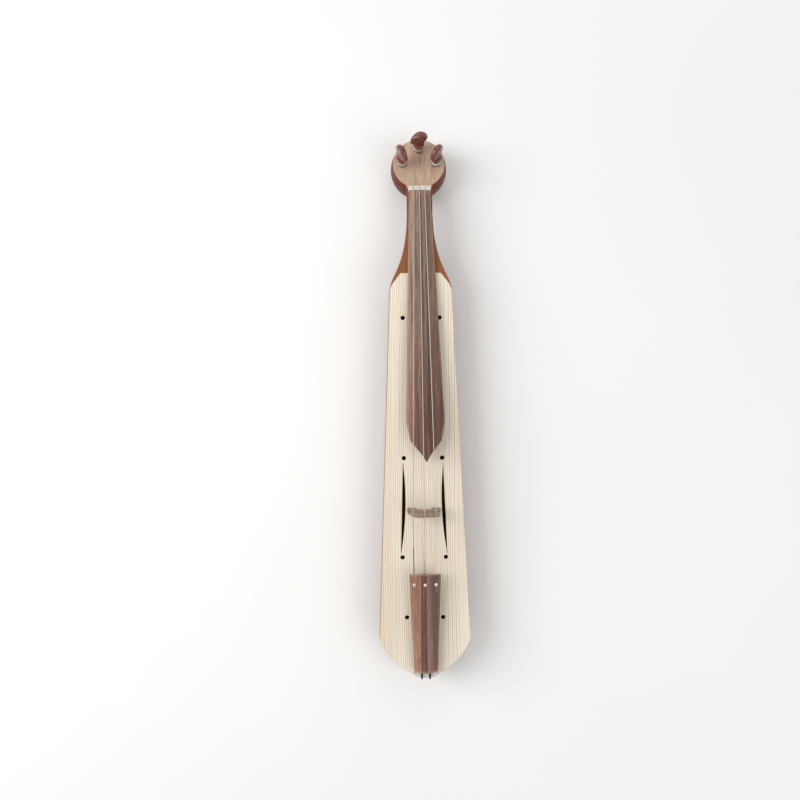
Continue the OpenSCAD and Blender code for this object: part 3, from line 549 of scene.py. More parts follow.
def makeString(name, look):
    material, add, surface, place = newMaterial(name)
    axes = add("SeparateXYZ", {0: add("UVMap", uv_map="along")})
    # u runs along the string in millimetres, v once round it, so a slanted wave is a winding
    u, v = axes.outputs["X"], axes.outputs["Y"]
    turns = add("Math", {0: u, 1: 1 / look["turn"], 2: v}, operation="MULTIPLY_ADD")
    angle = add("Math", {0: turns, 1: 2 * math.pi}, operation="MULTIPLY")
    wave = add("Math", {0: angle}, operation="SINE")
    share = add("MapRange", {0: wave, 1: -1.0, 2: 1.0})
    wear = add("TexNoise", {"Vector": place, "Scale": 0.05, "Detail": 3.0})
    worn = add("Math", {0: wear, 1: share}, operation="MULTIPLY", use_clamp=True)
    colour = add("Mix", {0: worn, 6: look["dark"], 7: look["light"]}, data_type="RGBA")
    bump = add("Bump", {"Height": share, "Strength": look["depth"], "Distance": 0.0001})
    rough = add("MapRange", {0: wear, 3: look["rough"] - 0.08, 4: look["rough"] + 0.12})
    metal = look["metal"]
    if "silk" in look:
        # matt thread from the bead to a little way in front of the tailpiece
        silkEnd = look["silkTo"]
        wrap = add("MapRange", {0: u, 1: silkEnd - look["silkFade"], 2: silkEnd, 3: 1.0, 4: 0.0})
        thread = add("Mix", {0: share, 6: look["silkDark"], 7: look["silk"]}, data_type="RGBA")
        colour = add("Mix", {0: wrap, 6: colour, 7: thread}, data_type="RGBA")
        rough = add("Math", {0: wrap, 1: look["silkMatt"], 2: rough}, operation="MULTIPLY_ADD")
        if metal:
            metal = add("MapRange", {0: wrap, 3: look["metal"], 4: 0.0})
    plug(surface, {"Base Color": colour, "Roughness": rough, "Normal": bump, "Metallic": metal})
    return material


# pressed glass bead: white, glossy, a little uneven
beadLook = {"white": "#EFEDE6", "shade": "#D8D4C9", "rough": 0.16}


def makeBead(name, look):
    material, add, surface, place = newMaterial(name)
    cloud = add("TexNoise", {"Vector": place, "Scale": 0.9, "Detail": 2.0})
    colour = setRamp(add("ValToRGB", {0: cloud}), [(0.35, look["shade"]), (0.6, look["white"])])
    bump = add("Bump", {"Height": cloud, "Strength": 0.1, "Distance": 0.0001})
    rough = add("MapRange", {0: cloud, 3: look["rough"], 4: look["rough"] + 0.12})
    plug(surface, {"Base Color": colour, "Roughness": rough, "Normal": bump, "IOR": 1.52})
    return material


planedPine = makePine("planed pine", boardPine)
oiledWalnut = makeWalnut("oiled walnut", fingerWalnut)
heartWalnut = makeWalnut("walnut with dark heart", tailWalnut)
varnishedAlder = makeHardwood("varnished alder", carvedAlder)
polishedPlum = makeHardwood("polished plum", plumPeg)
oiledBirch = makeHardwood("oiled birch", birchFace)
scrapedMaple = makeHardwood("scraped maple", mapleBridge)
rawAlder = makeHardwood("bare alder", bareAlder)
polishedBone = makeBone("polished bone", boneLook)
woundString = makeString("wound string", lowWinding)
gutString = makeString("twisted gut", gutTwist)
nylonString = makeString("white nylon", whiteTwist)
blackCord = makeString("black nylon cord", cordTwist)
glassBead = makeBead("white glass", beadLook)
print("materials made:", len(bpy.data.materials))


# the carved block: trough, heel, neck and head
block = {
    "depth": 46, "tailReach": 174, "tailArc": 39, "tailFlat": 12, "tailCross": 15, "tailW": 95,
    "shoulderW": 64.6, "boardReach": 249, "shoulderDrop": 17, "boardT": 3.5, "boardTopW": 42.8, "cornerL": 12,
    "cornerLedge": 1.8, "sideT": 5, "backT": 6, "tailBlock": 14, "backR": 16, "swell": 1.2, "strip": 0.6,
    "seatBox": (95, 250), "heelL": 80, "heelPull": (0.18, 0.3), "heelWide": 1, "neckW": 27, "neckDepth": 20,
    "neckSlope": 4, "neckRound": 0.75, "neckInHead": 12, "flatMid": 0.45, "flatRing": (0.8, 0.74),
    "tailRows": 44, "sideRows": 24, "heelRows": 56, "neckRows": 8, "chamberRows": 16, "sideSteps": 10,
    "backSteps": 14,
}
head = {
    "d": 55, "t": 28, "swell": 2.5, "tilt": 10, "plateT": 2, "plateR": 0.5, "holeR": 0.2, "easeFrom": 0.62,
    "easePull": ((-4, 0), (-1.4, 0), (0.9, 1.2)), "flatR": 8, "over": 0.5, "trimBox": (60, 120, 30),
    "rimSteps": 24, "easeSteps": 8, "plateSteps": 120, "round": 128,
}
nutSize = {"y": 335, "t": 5, "lift": 1.2, "spacing": 5.5}
rimZ = block["depth"] - block["boardT"]
tailY = -block["tailReach"]
flatReach = block["tailFlat"] / 2 + block["tailCross"]
cornerReach = block["tailW"] / 2 + block["tailCross"]
tailRise = (cornerReach ** 2 - flatReach ** 2 + block["tailArc"] ** 2) / (2 * block["tailArc"])
tailR = math.hypot(flatReach, tailRise)
cornerY = tailY + block["tailArc"]
shoulderY = block["boardReach"] - block["shoulderDrop"]
heelY = shoulderY + block["heelL"]
neckHalf = block["neckW"] / 2
nutBack = nutSize["y"] + nutSize["t"] * cos(block["neckSlope"])


def neckTop(y):
    return block["depth"] - max(0, y - block["boardReach"]) * math.tan(math.radians(block["neckSlope"]))


def tilted(y, degrees):
    return Matrix.Translation((0, y, neckTop(y))) @ Matrix.Rotation(math.radians(-degrees), 4, "X")


onHead = tilted(nutBack, head["tilt"])
onNeck = tilted(nutSize["y"], block["neckSlope"])


def halfWidth(y):
    if y < cornerY:
        return math.sqrt(max(0, tailR ** 2 - (y - tailY - tailRise) ** 2)) - block["tailCross"]
    return mix(block["tailW"], block["shoulderW"], (y - cornerY) / (shoulderY - cornerY)) / 2


def blockSection(y, w, top, back, rx, rz, swell):
    half = []
    for f in evenly(0, 1, block["sideSteps"])[:-1]:
        half.append((w + swell * sin(90 * f), y, top - f * (top - back - rz)))
    for k in range(block["backSteps"] + 1):
        a = 90 * k / block["backSteps"]
        half.append((w + swell - rx + rx * cos(a), y, back + rz - rz * sin(a)))
    return half + mirrored(half)


def tailPoint(a):
    return tailR * sin(a) - block["tailCross"], tailY + tailRise - tailR * cos(a)


def tailSection(a):
    w, y = tailPoint(a)
    rise = sag(block["backR"], max(0, block["backR"] - (y - tailY)))
    r = min(block["backR"], w + block["swell"] - block["strip"])
    return blockSection(y, w, block["depth"], rise, r, r, block["swell"])


def sideSection(y):
    return blockSection(y, halfWidth(y), block["depth"], 0, block["backR"], block["backR"], block["swell"])


def heelSection(t):
    pull, length, strip = block["heelPull"], block["heelL"], block["strip"]
    shoulderHalf = block["shoulderW"] / 2
    y = bezier(shoulderY, shoulderY + pull[0] * length, shoulderY + pull[1] * length, heelY, t)
    w = bezier(shoulderHalf, shoulderHalf - strip, neckHalf + block["heelWide"], neckHalf, t)
    swell = block["swell"] * (1 - t)
    back = t * t * (3 - 2 * t) * (neckTop(heelY) - block["neckDepth"])
    rx = min(mix(block["backR"], neckHalf - strip, t), w + swell - strip)
    rz = mix(block["backR"], block["neckRound"] * block["neckDepth"], t)
    return blockSection(y, w, neckTop(y), back, rx, rz, swell)


def neckSection(y):
    top, deep = neckTop(y), block["neckDepth"]
    return blockSection(y, neckHalf, top, top - deep, neckHalf - block["strip"], block["neckRound"] * deep, 0)


def chamberSection(y):
    r = block["backR"] - block["sideT"]
    return blockSection(y, halfWidth(y) - block["sideT"], rimZ + 1, block["backT"], r, r, 0)


startAngle = math.degrees(math.asin(flatReach / tailR))
endAngle = math.degrees(math.acos((tailRise - block["tailArc"]) / tailR))
blockRows = [tailSection(a) for a in evenly(startAngle, endAngle, block["tailRows"])]
# a ring inside the flat of the tail, below the rim, keeps its rubbed edges narrow
flatMid = mix(block["backR"], rimZ, block["flatMid"])
acrossShare, upShare = block["flatRing"]
blockRows.insert(0, [(acrossShare * x, y, mix(flatMid, z, upShare)) for x, y, z in blockRows[0]])
blockRows += [sideSection(y) for y in evenly(cornerY, shoulderY, block["sideRows"])[1:-1]]
blockRows += [heelSection(t) for t in evenly(0, 1, block["heelRows"])]
blockRows += [neckSection(y) for y in evenly(heelY, nutBack + block["neckInHead"], block["neckRows"])[1:]]
carved = loftPiece("carvedBlock", blockRows, varnishedAlder)

# round head with a swelling rim and an eased back edge
rimMid = -(head["t"] + head["plateT"]) / 2
rimRise = -head["plateT"] - rimMid
rimR = arcR(rimRise, head["swell"])
rimX = head["d"] / 2 + head["swell"] - rimR
lowAngle = -head["easeFrom"] * math.degrees(math.asin(rimRise / rimR))
# a little past the front, which is trimmed flat below
overAngle = math.degrees(math.asin((rimRise + head["over"]) / rimR))
rim = [(rimX + rimR * cos(a), rimMid + rimR * sin(a)) for a in evenly(lowAngle, overAngle, head["rimSteps"])]
backX = rimX + math.sqrt(rimR ** 2 - (head["t"] + rimMid) ** 2)
backZ = -head["t"]
pulls = [(backX + x, backZ + z) for x, z in head["easePull"]] + [rim[0]]
ease = [tuple(bezier(*axis, t) for axis in zip(*pulls)) for t in evenly(0, 1, head["easeSteps"])[:-1]]
headProfile = [(0, backZ), (head["flatR"], backZ)] + ease + rim + [(0, rim[-1][1])]
headPoints, headFaces = turnedMesh(headProfile, head["round"])
headPoints = moved([(x, y + head["d"] / 2, z) for x, y, z in headPoints], onHead)
cutPiece(carved, addMesh("headBlock", headPoints, headFaces, varnishedAlder), "UNION")

rightEnd = [
    (block["shoulderW"] / 2, shoulderY),
    (block["shoulderW"] / 2 - block["cornerLedge"], block["boardReach"] - block["cornerL"]),
    (block["boardTopW"] / 2, block["boardReach"]),
]
boardEnd = rightEnd + mirrored(rightEnd)
wide, past = block["seatBox"]
seatOutline = [(-wide, shoulderY), (-wide, -past), (wide, -past), (wide, shoulderY)] + boardEnd
cutPiece(carved, addMesh("seatTool", *prismMesh(seatOutline, rimZ, block["depth"] + 1), rawAlder))
chamberYs = evenly(tailY + block["tailBlock"], cornerY, block["chamberRows"]) + [shoulderY - block["sideT"]]
cutPiece(carved, loftPiece("chamberTool", [chamberSection(y) for y in chamberYs], rawAlder))
wide, past, over = head["trimBox"]
trimPoints, trimFaces = prismMesh([(-wide, 0), (wide, 0), (wide, past), (-wide, past)], -head["plateT"], over)
cutPiece(carved, addMesh("trimTool", moved(trimPoints, onHead), trimFaces, varnishedAlder))

peg = {
    "d": 8, "taper": 25, "offset": 18, "rise": 16, "stem": 11, "collarD": 12, "collarT": 2.5, "gripW": 19,
    "gripH": 17, "gripT": 7.5, "tail": 3, "turn": (-60, 20, 55), "room": 0.08, "bore": (-32, 4),
    "boreRound": 48,
}
headR = head["d"] / 2
pegSpots = [(-peg["offset"], headR), (0, headR + peg["rise"]), (peg["offset"], headR)]


def shaftR(z):
    return peg["d"] / 2 + min(0, z) / peg["taper"] / 2


def atPeg(points, spot):
    return moved(moved(points, Matrix.Translation((spot[0], spot[1], 0))), onHead)


low, high = peg["bore"]
boreProfile = [(0, low), (shaftR(low) + peg["room"], low), (shaftR(high) + peg["room"], high), (0, high)]
borePoints, boreFaces = turnedMesh(boreProfile, peg["boreRound"])
for spot in pegSpots:
    cutPiece(carved, addMesh("boreTool", atPeg(borePoints, spot), boreFaces, varnishedAlder))
smoothFaces(carved, 30)
standFor(carved, "body", "fiddle", "carved_wood")
print("carved block:", len(carved.data.polygons), "faces")


# soundboard with its round holes and slits
board = {
    "edgeR": 0.55, "holeD": 4.5, "holeY": (202, 55, -49, -112), "holeX": (19.2, 20, 22.7, 18.8),
    "holeR": 0.35, "slitL": 94, "slitW": 3.6, "slitKerf": 0.5, "slitX": 22.7, "slitY": 2.4, "slitLean": 1.9,
    "slitR": 0.25, "saddleW": 22, "saddleT": 6, "edgeSteps": 30, "bowSteps": 40, "slitSteps": 20,
}
notch = board["saddleW"] / 2
notchAngle = math.degrees(math.asin((notch + block["tailCross"]) / tailR))
rightEdge = [(notch, tailY + board["saddleT"])]
rightEdge += [tailPoint(a) for a in evenly(notchAngle, endAngle, board["edgeSteps"])]
rightEdge += [(halfWidth(y), y) for y in evenly(cornerY, shoulderY, board["edgeSteps"])[1:]]
boardLoops = [rightEdge + boardEnd[1:-1] + mirrored(rightEdge)]
boardRounds = [board["edgeR"]]
slitEnd = board["slitL"] / 2
slitArc = arcR(slitEnd, board["slitW"])
slitHalf = math.degrees(math.asin(slitEnd / slitArc))
# straight outer edge, inner edge bowed towards the middle, and a saw cut's width left at the tips
slit = [
    (min(-board["slitKerf"], slitArc * (1 - cos(a)) - board["slitW"]), slitArc * sin(a))
    for a in evenly(-slitHalf, slitHalf, board["bowSteps"])
]
slit += [(0, y) for y in evenly(slitEnd, -slitEnd, board["slitSteps"])]
leanCos, leanSin = cos(board["slitLean"]), sin(board["slitLean"])
slit = [
    (board["slitX"] + x * leanCos - y * leanSin, board["slitY"] + x * leanSin + y * leanCos)
    for x, y in slit
]
for side in (-1, 1):
    holes = [roundHole(side * x, y, board["holeD"] / 2) for x, y in zip(board["holeX"], board["holeY"])]
    boardLoops += holes + [slit if side > 0 else mirrored(slit)]
    boardRounds += [board["holeR"]] * len(holes) + [board["slitR"]]
boardPoints, boardFaces = plateMesh(boardLoops, block["boardT"], boardRounds)
boardPoints = [(x, y, z + rimZ) for x, y, z in boardPoints]
soundboard = addMesh("soundboardPlate", boardPoints, boardFaces, planedPine, 50)
standFor(soundboard, "soundboard", "fiddle", "softwood")
print("soundboard:", len(soundboard.data.polygons), "faces")


# pale plate on the front of the head
meetAngle = math.degrees(math.asin(neckHalf / headR))
face = [(-neckHalf, 0), (neckHalf, 0)]
face += [
    (headR * sin(a), headR - headR * cos(a))
    for a in evenly(meetAngle, 360 - meetAngle, head["plateSteps"])
]
pegHoles = [roundHole(x, y, peg["d"] / 2 + peg["room"]) for x, y in pegSpots]
faceRounds = [head["plateR"]] + [head["holeR"]] * len(pegHoles)
facePoints, faceFaces = plateMesh([face] + pegHoles, head["plateT"], faceRounds)
facePoints = moved([(x, y, z - head["plateT"]) for x, y, z in facePoints], onHead)
headPlate = addMesh("headFace", facePoints, faceFaces, oiledBirch, 50)
standFor(headPlate, "head_plate", "fiddle", "pale_wood")


# the fingerboard and the tailpiece share a section: eased foot, upright side, eased edge and arched top
def archedRing(w, base, top, archR, easeR, foot, easeSteps, archSteps=24):
    edge = top - sag(archR, w) - easeR
    right = [(w - foot, base), (w, base + foot), (w, edge)]
    right += [(w - easeR + easeR * cos(a), edge + easeR * sin(a)) for a in evenly(0, 90, easeSteps)[1:-1]]
    arch = [(x, top - sag(archR, x)) for x in evenly(w - easeR, easeR - w, archSteps)]
    return right + arch + mirrored(right)


# fingerboard: rounded top, straight taper and a faceted point
finger = {
    "nutW": 22.4, "endW": 40, "t": 6, "r": 60, "wideY": 93, "tipY": 52, "cheekW": 32.2, "cheekL": 19.5,
    "pointW": 7.4, "pointL": 6, "tipW": 0.8, "edgeR": 0.4, "edgeShare": 0.6, "foot": 0.3, "footShare": 0.3,
    "lean": 0.65, "easeSteps": 4, "rowL": 6, "leastRows": 4,
}
fingerWidths = [
    (nutSize["y"], finger["nutW"]),
    (finger["wideY"], finger["endW"]),
    (finger["wideY"] - finger["cheekL"], finger["cheekW"]),
    (finger["tipY"] + finger["pointL"], finger["pointW"]),
    (finger["tipY"], finger["tipW"]),
]
fingerBreaks = [((y - nutSize["y"]) / cos(block["neckSlope"]), w / 2) for y, w in fingerWidths]


def fingerSection(y, w):
    # towards the tip the eased edges shrink with the width
    easeR = min(finger["edgeR"], w * finger["edgeShare"])
    foot = min(finger["foot"], w * finger["footShare"])
    ring = archedRing(w, 0, finger["t"], finger["r"], easeR, foot, finger["easeSteps"])
    return [(x, y, z) for x, z in ring]


fingerRows = []
for (y1, w1), (y2, w2) in zip(fingerBreaks, fingerBreaks[1:]):
    count = max(finger["leastRows"], int(abs(y2 - y1) / finger["rowL"]))
    fingerRows += [fingerSection(y, w) for y, w in zip(evenly(y1, y2, count)[:-1], evenly(w1, w2, count))]
fingerRows.append(fingerSection(*fingerBreaks[-1]))
# the board leans a little towards the high string, and still ends square at the nut
lean = Matrix.Rotation(math.radians(finger["lean"]), 4, "Z")
leant = [moved(row, lean) for row in reversed(fingerRows)]
fingerRows = [moved([(x, min(0, y), z) for x, y, z in row], onNeck) for row in leant]
fingerboard = loftPiece("fingerboardWalnut", fingerRows, oiledWalnut, 24)
standFor(fingerboard, "fingerboard", "fiddle", "walnut")


# bridge on two feet, its bass corner rounded off
bridge = {
    "h": 28, "footW": 34, "topW": 31, "t": 5.8, "r": 45, "gapW": 17.4, "gapH": 12, "gapR": 2, "spacing": 11.6,
    "edgeR": 0.35, "rim": 0.08, "ease": 0.4, "bassR": 4.5, "trebleR": 0.7, "notchRoom": 0.06,
    "crownSteps": 90, "pareX": 8.5, "pareZ": 6, "pare": 0.75, "pareCurve": 1.5,
}
stringD = (1, 0.85, 0.7)


def lane(i, gap):
    return (i - 1) * gap


def crownZ(x):
    return bridge["h"] - sag(bridge["r"], x)


def notchDip(x, i):
    room = (stringD[i] / 2 + bridge["notchRoom"]) ** 2 - (x - lane(i, bridge["spacing"])) ** 2
    return math.sqrt(max(0, room))


def roundCorner(a, corner, b, r, steps=6):
    corner = Vector(corner)
    start = corner + (Vector(a) - corner).normalized() * r
    end = corner + (Vector(b) - corner).normalized() * r
    return [tuple(start * (1 - t) ** 2 + corner * 2 * t * (1 - t) + end * t * t) for t in evenly(0, 1, steps)]


footHalf, topHalf, gapHalf = bridge["footW"] / 2, bridge["topW"] / 2, bridge["gapW"] / 2
crownFrom, crownTo = topHalf - bridge["trebleR"] - bridge["ease"], bridge["bassR"] + bridge["ease"] - topHalf
crown = [
    (x, crownZ(x) - max(notchDip(x, i) for i in range(3)))
    for x in evenly(crownFrom, crownTo, bridge["crownSteps"])
]
rightFoot = [(gapHalf, 0), (footHalf - bridge["ease"], 0), (footHalf, bridge["ease"])]
bridgeLoop = rightFoot + roundCorner((footHalf, 0), (topHalf, crownZ(topHalf)), crown[0], bridge["trebleR"])
bridgeLoop += crown
bridgeLoop += roundCorner(crown[-1], (-topHalf, crownZ(topHalf)), (-footHalf, 0), bridge["bassR"])
bridgeLoop += mirrored(rightFoot)
gapCorner = [
    (-gapHalf + bridge["gapR"] * (1 - cos(a)), bridge["gapH"] - bridge["gapR"] * (1 - sin(a)))
    for a in range(0, 91, 15)
]
bridgeLoop += gapCorner + mirrored(gapCorner)
platePoints, bridgeFaces = plateMesh([bridgeLoop], bridge["t"], [bridge["edgeR"]], bridge["rim"])
# the bass end is pared away on the side towards the tailpiece
bridgePoints = []
for x, z, t in platePoints:
    up = asShare((z - bridge["pareZ"]) / (bridge["h"] - bridge["pareZ"]))
    share = bridge["pare"] * up ** bridge["pareCurve"] * t / bridge["t"]
    bridgePoints.append((x + min(0, x + bridge["pareX"]) * -share, bridge["t"] / 2 - t, block["depth"] + z))
standingBridge = addMesh("bridgeMaple", bridgePoints, bridgeFaces, scrapedMaple, 40)
standFor(standingBridge, "bridge", "fiddle", "bridge_wood")


# tailpiece: arched walnut with tie holes, spare holes and bead pockets
tailpiece = {
    "gap": 63.5, "l": 103.5, "frontW": 32.5, "rearW": 24.3, "bow": 1.4, "bowL": 12, "t": 8, "r": 42,
    "frontLift": 10.5, "rearLift": 2.5, "bevel": 2.5, "tieSetback": 10, "holeD": 2, "spare": 5, "beadD": 3.2,
    "beadSink": 0.9, "beadLift": 0.03, "tieSpacing": 11.2, "bendR": 1.4, "mouthD": 7.6, "pocketRoom": 0.1,
    "pocketFlare": 4.5, "edgeR": 1.1, "foot": 0.5, "easeSteps": 5, "endL": 0.6,
    "endEase": ((0.0, 0.55), (0.16, 0.22), (0.55, 0.0)), "drill": (45, 90), "drillRound": 32, "rows": 30,
    "bevelRows": 6,
}
tailFront = -tailpiece["gap"]
tailRear = tailFront - tailpiece["l"]
tieY = tailFront - tailpiece["tieSetback"]
bevelY = tieY - tailpiece["holeD"]
bowR = arcR(tailpiece["rearW"] / 2, tailpiece["bow"])


def tailUnder(y):
    lift = mix(tailpiece["rearLift"], tailpiece["frontLift"], (y - tailRear) / tailpiece["l"])
    return block["depth"] + lift


def tailCut(y):
    return tailUnder(y) + tailpiece["bevel"] * max(0, (y - bevelY) / (tailFront - bevelY))


def tailTop(y):
    return tailUnder(y) + tailpiece["t"]


def tailpieceSection(y, pull=0.0):
    w = mix(tailpiece["rearW"], tailpiece["frontW"], (y - tailRear) / tailpiece["l"]) / 2 - pull
    ring = archedRing(
        w, tailCut(y) + pull, tailTop(y) - pull, tailpiece["r"], tailpiece["edgeR"], tailpiece["foot"],
        tailpiece["easeSteps"],
    )
    bowed = max(0, 1 - (y - tailRear) / tailpiece["bowL"])
    return [(x, y + bowed * sag(bowR, x), z) for x, z in ring]


tailpieceYs = evenly(tailRear + tailpiece["endL"], bevelY, tailpiece["rows"])[1:]
tailpieceYs += evenly(bevelY, tailFront - tailpiece["endL"], tailpiece["bevelRows"])[1:]
tailpieceRows = [tailpieceSection(tailRear + step, pull) for step, pull in tailpiece["endEase"]]
tailpieceRows += [tailpieceSection(y) for y in tailpieceYs]
tailpieceRows += [tailpieceSection(tailFront - step, pull) for step, pull in reversed(tailpiece["endEase"])]
archedTail = loftPiece("tailpieceWalnut", tailpieceRows, heartWalnut, 40)


def beadFloor(i):
    return tailTop(tieY) - sag(tailpiece["r"], lane(i, tailpiece["tieSpacing"])) - tailpiece["beadSink"]


def beadZ(i):
    # a bead lies on the rim of its tie hole
    rest = math.sqrt(tailpiece["beadD"] ** 2 - tailpiece["holeD"] ** 2) / 2
    return beadFloor(i) + rest + tailpiece["beadLift"]


def drillTail(x, y, low, high, d, topD):
    points, faces = turnedMesh([(0, low), (d / 2, low), (topD / 2, high), (0, high)], tailpiece["drillRound"])
    points = [(px + x, py + y, pz) for px, py, pz in points]
    cutPiece(archedTail, addMesh("drill", points, faces, heartWalnut))


under, over = tailpiece["drill"]
holeD, bendR, mouthZ = tailpiece["holeD"], tailpiece["bendR"], tailCut(tieY)
pocketD = tailpiece["beadD"] + tailpiece["pocketRoom"]
pocketRimD = tailpiece["beadD"] + tailpiece["pocketFlare"]
for i in range(3):
    tieX = lane(i, tailpiece["tieSpacing"])
    drillTail(tieX, tieY, under, over, holeD, holeD)
    drillTail(tieX, tieY - tailpiece["spare"], under, over, holeD, holeD)
    drillTail(tieX, tieY, beadFloor(i), over, pocketD, pocketRimD)
    drillTail(tieX, tieY, mouthZ - bendR, mouthZ + bendR, tailpiece["mouthD"], holeD)
smoothFaces(archedTail, 40)
standFor(archedTail, "tailpiece", "fiddle", "walnut")
print("tailpiece:", len(archedTail.data.polygons), "faces")


# cords: the three strings and the tail cord
def sweptCord(name, path, d, sides, material):
    path = [Vector(p) for p in path]
    ways = []
    for i in range(len(path)):
        way = Vector((0, 0, 0))
        if i:
            way += (path[i] - path[i - 1]).normalized()
        if i < len(path) - 1:
            way += (path[i + 1] - path[i]).normalized()
        ways.append(way.normalized())
    side = Vector((0.4, 0.5, 0.8))  # any way that no cord starts along
    points, uvs, along = [], [], 0.0
    for i, (p, way) in enumerate(zip(path, ways)):
        side = (side - way * side.dot(way)).normalized()
        other = way.cross(side)
        along += (p - path[i - 1]).length if i else 0
        for k in range(sides):
            a = 2 * math.pi * k / sides
            points.append(p + (side * math.cos(a) + other * math.sin(a)) * d / 2)
            uvs.append((along, k / sides))
    return addMesh(name, points, loftFaces(len(path), sides), material, 60, uvs)


# the last turn climbs over the winding and tucks in: (rise in string widths, degrees past the last full turn)
coil = {
    "turns": 4, "gap": 0.5, "start": 2.5, "clear": 0.3, "rings": 48, "wind": (1, 1, -1),
    "tuck": [(0.25, 15), (0.8, 30), (1.3, 42), (1.5, 52), (1.15, 58.5), (0.5, 61), (-0.5, 61)],
}
stringRun = {"bendSteps": 10, "shortSteps": 12, "longSteps": 40, "sides": 12}


def bridgePoint(i):
    x = lane(i, bridge["spacing"])
    return Vector((x, 0, block["depth"] + crownZ(x)))


def nutPoint(i):
    x = lane(i, nutSize["spacing"])
    return onNeck @ Vector((x, 0, finger["t"] + nutSize["lift"] - sag(finger["r"], x)))


def coilPath(i):
    start = onHead.inverted() @ nutPoint(i)
    spot, r = pegSpots[i], peg["d"] / 2 + coil["clear"] + stringD[i] / 2
    dx, dy = start.x - spot[0], start.y - spot[1]
    touch = math.degrees(math.atan2(dy, dx))
    touch += coil["wind"][i] * math.degrees(math.acos(r / math.hypot(dx, dy)))
    turnsAndRise = [(360 * k / coil["rings"], 0) for k in range(coil["rings"] * coil["turns"] + 1)]
    turnsAndRise += [(360 * coil["turns"] + turn, rise * stringD[i]) for rise, turn in coil["tuck"]]
    out = []
    for turn, rise in turnsAndRise:
        a = touch + coil["wind"][i] * turn
        z = coil["start"] + (stringD[i] + coil["gap"]) * turn / 360
        out.append(onHead @ Vector((spot[0] + (r + rise) * cos(a), spot[1] + (r + rise) * sin(a), z)))
    return out


def stringPath(i):
    x, low, bendR = lane(i, tailpiece["tieSpacing"]), tailCut(tieY), tailpiece["bendR"]
    top, nut = bridgePoint(i), nutPoint(i)
    start = Vector((x, tieY, beadZ(i) + tailpiece["beadD"] / 2 + stringD[i] / 2))
    climb = math.degrees(math.atan2(top.z - low + bendR, -tieY - bendR))
    bendAngles = [(90 + climb) * k / stringRun["bendSteps"] for k in range(stringRun["bendSteps"] + 1)]
    bend = [Vector((x, tieY + bendR * (1 - cos(a)), low - bendR * sin(a))) for a in bendAngles]
    way = ((top - bend[-1]).normalized() + (nut - top).normalized()).normalized()
    over = [top + way * side * (bridge["t"] / 2 + stringD[i]) for side in (-1, 1)]
    shortRun = [bend[-1].lerp(over[0], t) for t in evenly(0, 1, stringRun["shortSteps"])[1:-1]]
    longRun = [over[1].lerp(nut, t) for t in evenly(0, 1, stringRun["longSteps"])[1:-1]]
    return [start] + bend + shortRun + over + longRun + [nut] + coilPath(i)


stringKinds = [
    ("lowString", "string_low", woundString, "wound_string"),
    ("middleString", "string_middle", gutString, "gut_string"),
    ("highString", "string_high", nylonString, "white_string"),
]
for i, (name, node, material, slot) in enumerate(stringKinds):
    string = sweptCord(name, stringPath(i), stringD[i], stringRun["sides"], material)
    standFor(string, node, "fiddle", slot)

# the tail cord: out of the tailpiece, over the saddle and round the groove of the end pin
cord = {
    "d": 2.2, "lift": 2.9, "buried": (10, 3, 0), "clear": 0.1, "saddleH": 3.5, "saddleR": 2.9,
    "saddleFrom": 9, "saddleSteps": 12, "pinZ": 26, "grooveD": 6, "pinStep": 6, "sides": 16,
}
cordX = cord["grooveD"] / 2 + cord["clear"] + cord["d"] / 2
cordTurn = cord["saddleR"] + cord["clear"] + cord["d"] / 2
saddleY, saddleZ = tailY + cord["saddleR"], block["depth"] + cord["saddleH"] - cord["saddleR"]
cordDropY = saddleY - cordTurn
cordHalf = [(cordX, tailRear + deep, tailUnder(tailRear + deep) + cord["lift"]) for deep in cord["buried"]]
cordHalf += [
    (cordX, saddleY - cordTurn * sin(a), saddleZ + cordTurn * cos(a))
    for a in evenly(cord["saddleFrom"], 90, cord["saddleSteps"])
]
roundPin = range(0, 90, cord["pinStep"])
cordHalf += [(cordX * cos(a), cordDropY, cord["pinZ"] - cordX * sin(a)) for a in roundPin]
cordPath = cordHalf + [(0, cordDropY, cord["pinZ"] - cordX)] + mirrored(cordHalf)
tailCord = sweptCord("tailCord", cordPath, cord["d"], cord["sides"], blackCord)
standFor(tailCord, "tail_gut", "fiddle", "tail_cord")
print("cords swept")


# stop beads, drilled through
bead = {"room": 0.05, "lip": 0.98, "steps": 18, "round": 36}
beadPoints, beadFaces = [], []
for i in range(3):
    r, bore = tailpiece["beadD"] / 2, stringD[i] / 2 + bead["room"]
    first = math.degrees(math.acos(bore / r))
    lip = (bore, r * sin(first) * bead["lip"])
    ring = [(r * cos(a), r * sin(a)) for a in evenly(-first, first, bead["steps"])]
    ring = [(bore, -lip[1])] + ring + [lip]
    n, base = len(ring), len(beadPoints)
    for row in turnedPoints(ring, bead["round"]):
        beadPoints += [(x + lane(i, tailpiece["tieSpacing"]), y + tieY, z + beadZ(i)) for x, y, z in row]
    for k in range(bead["round"]):
        a, b = base + k * n, base + (k + 1) % bead["round"] * n
        beadFaces += [(a + j, b + j, b + (j + 1) % n, a + (j + 1) % n) for j in range(n)]
beads = addMesh("stopBeads", beadPoints, beadFaces, glassBead, 50)
standFor(beads, "string_beads", "fiddle", "bead")


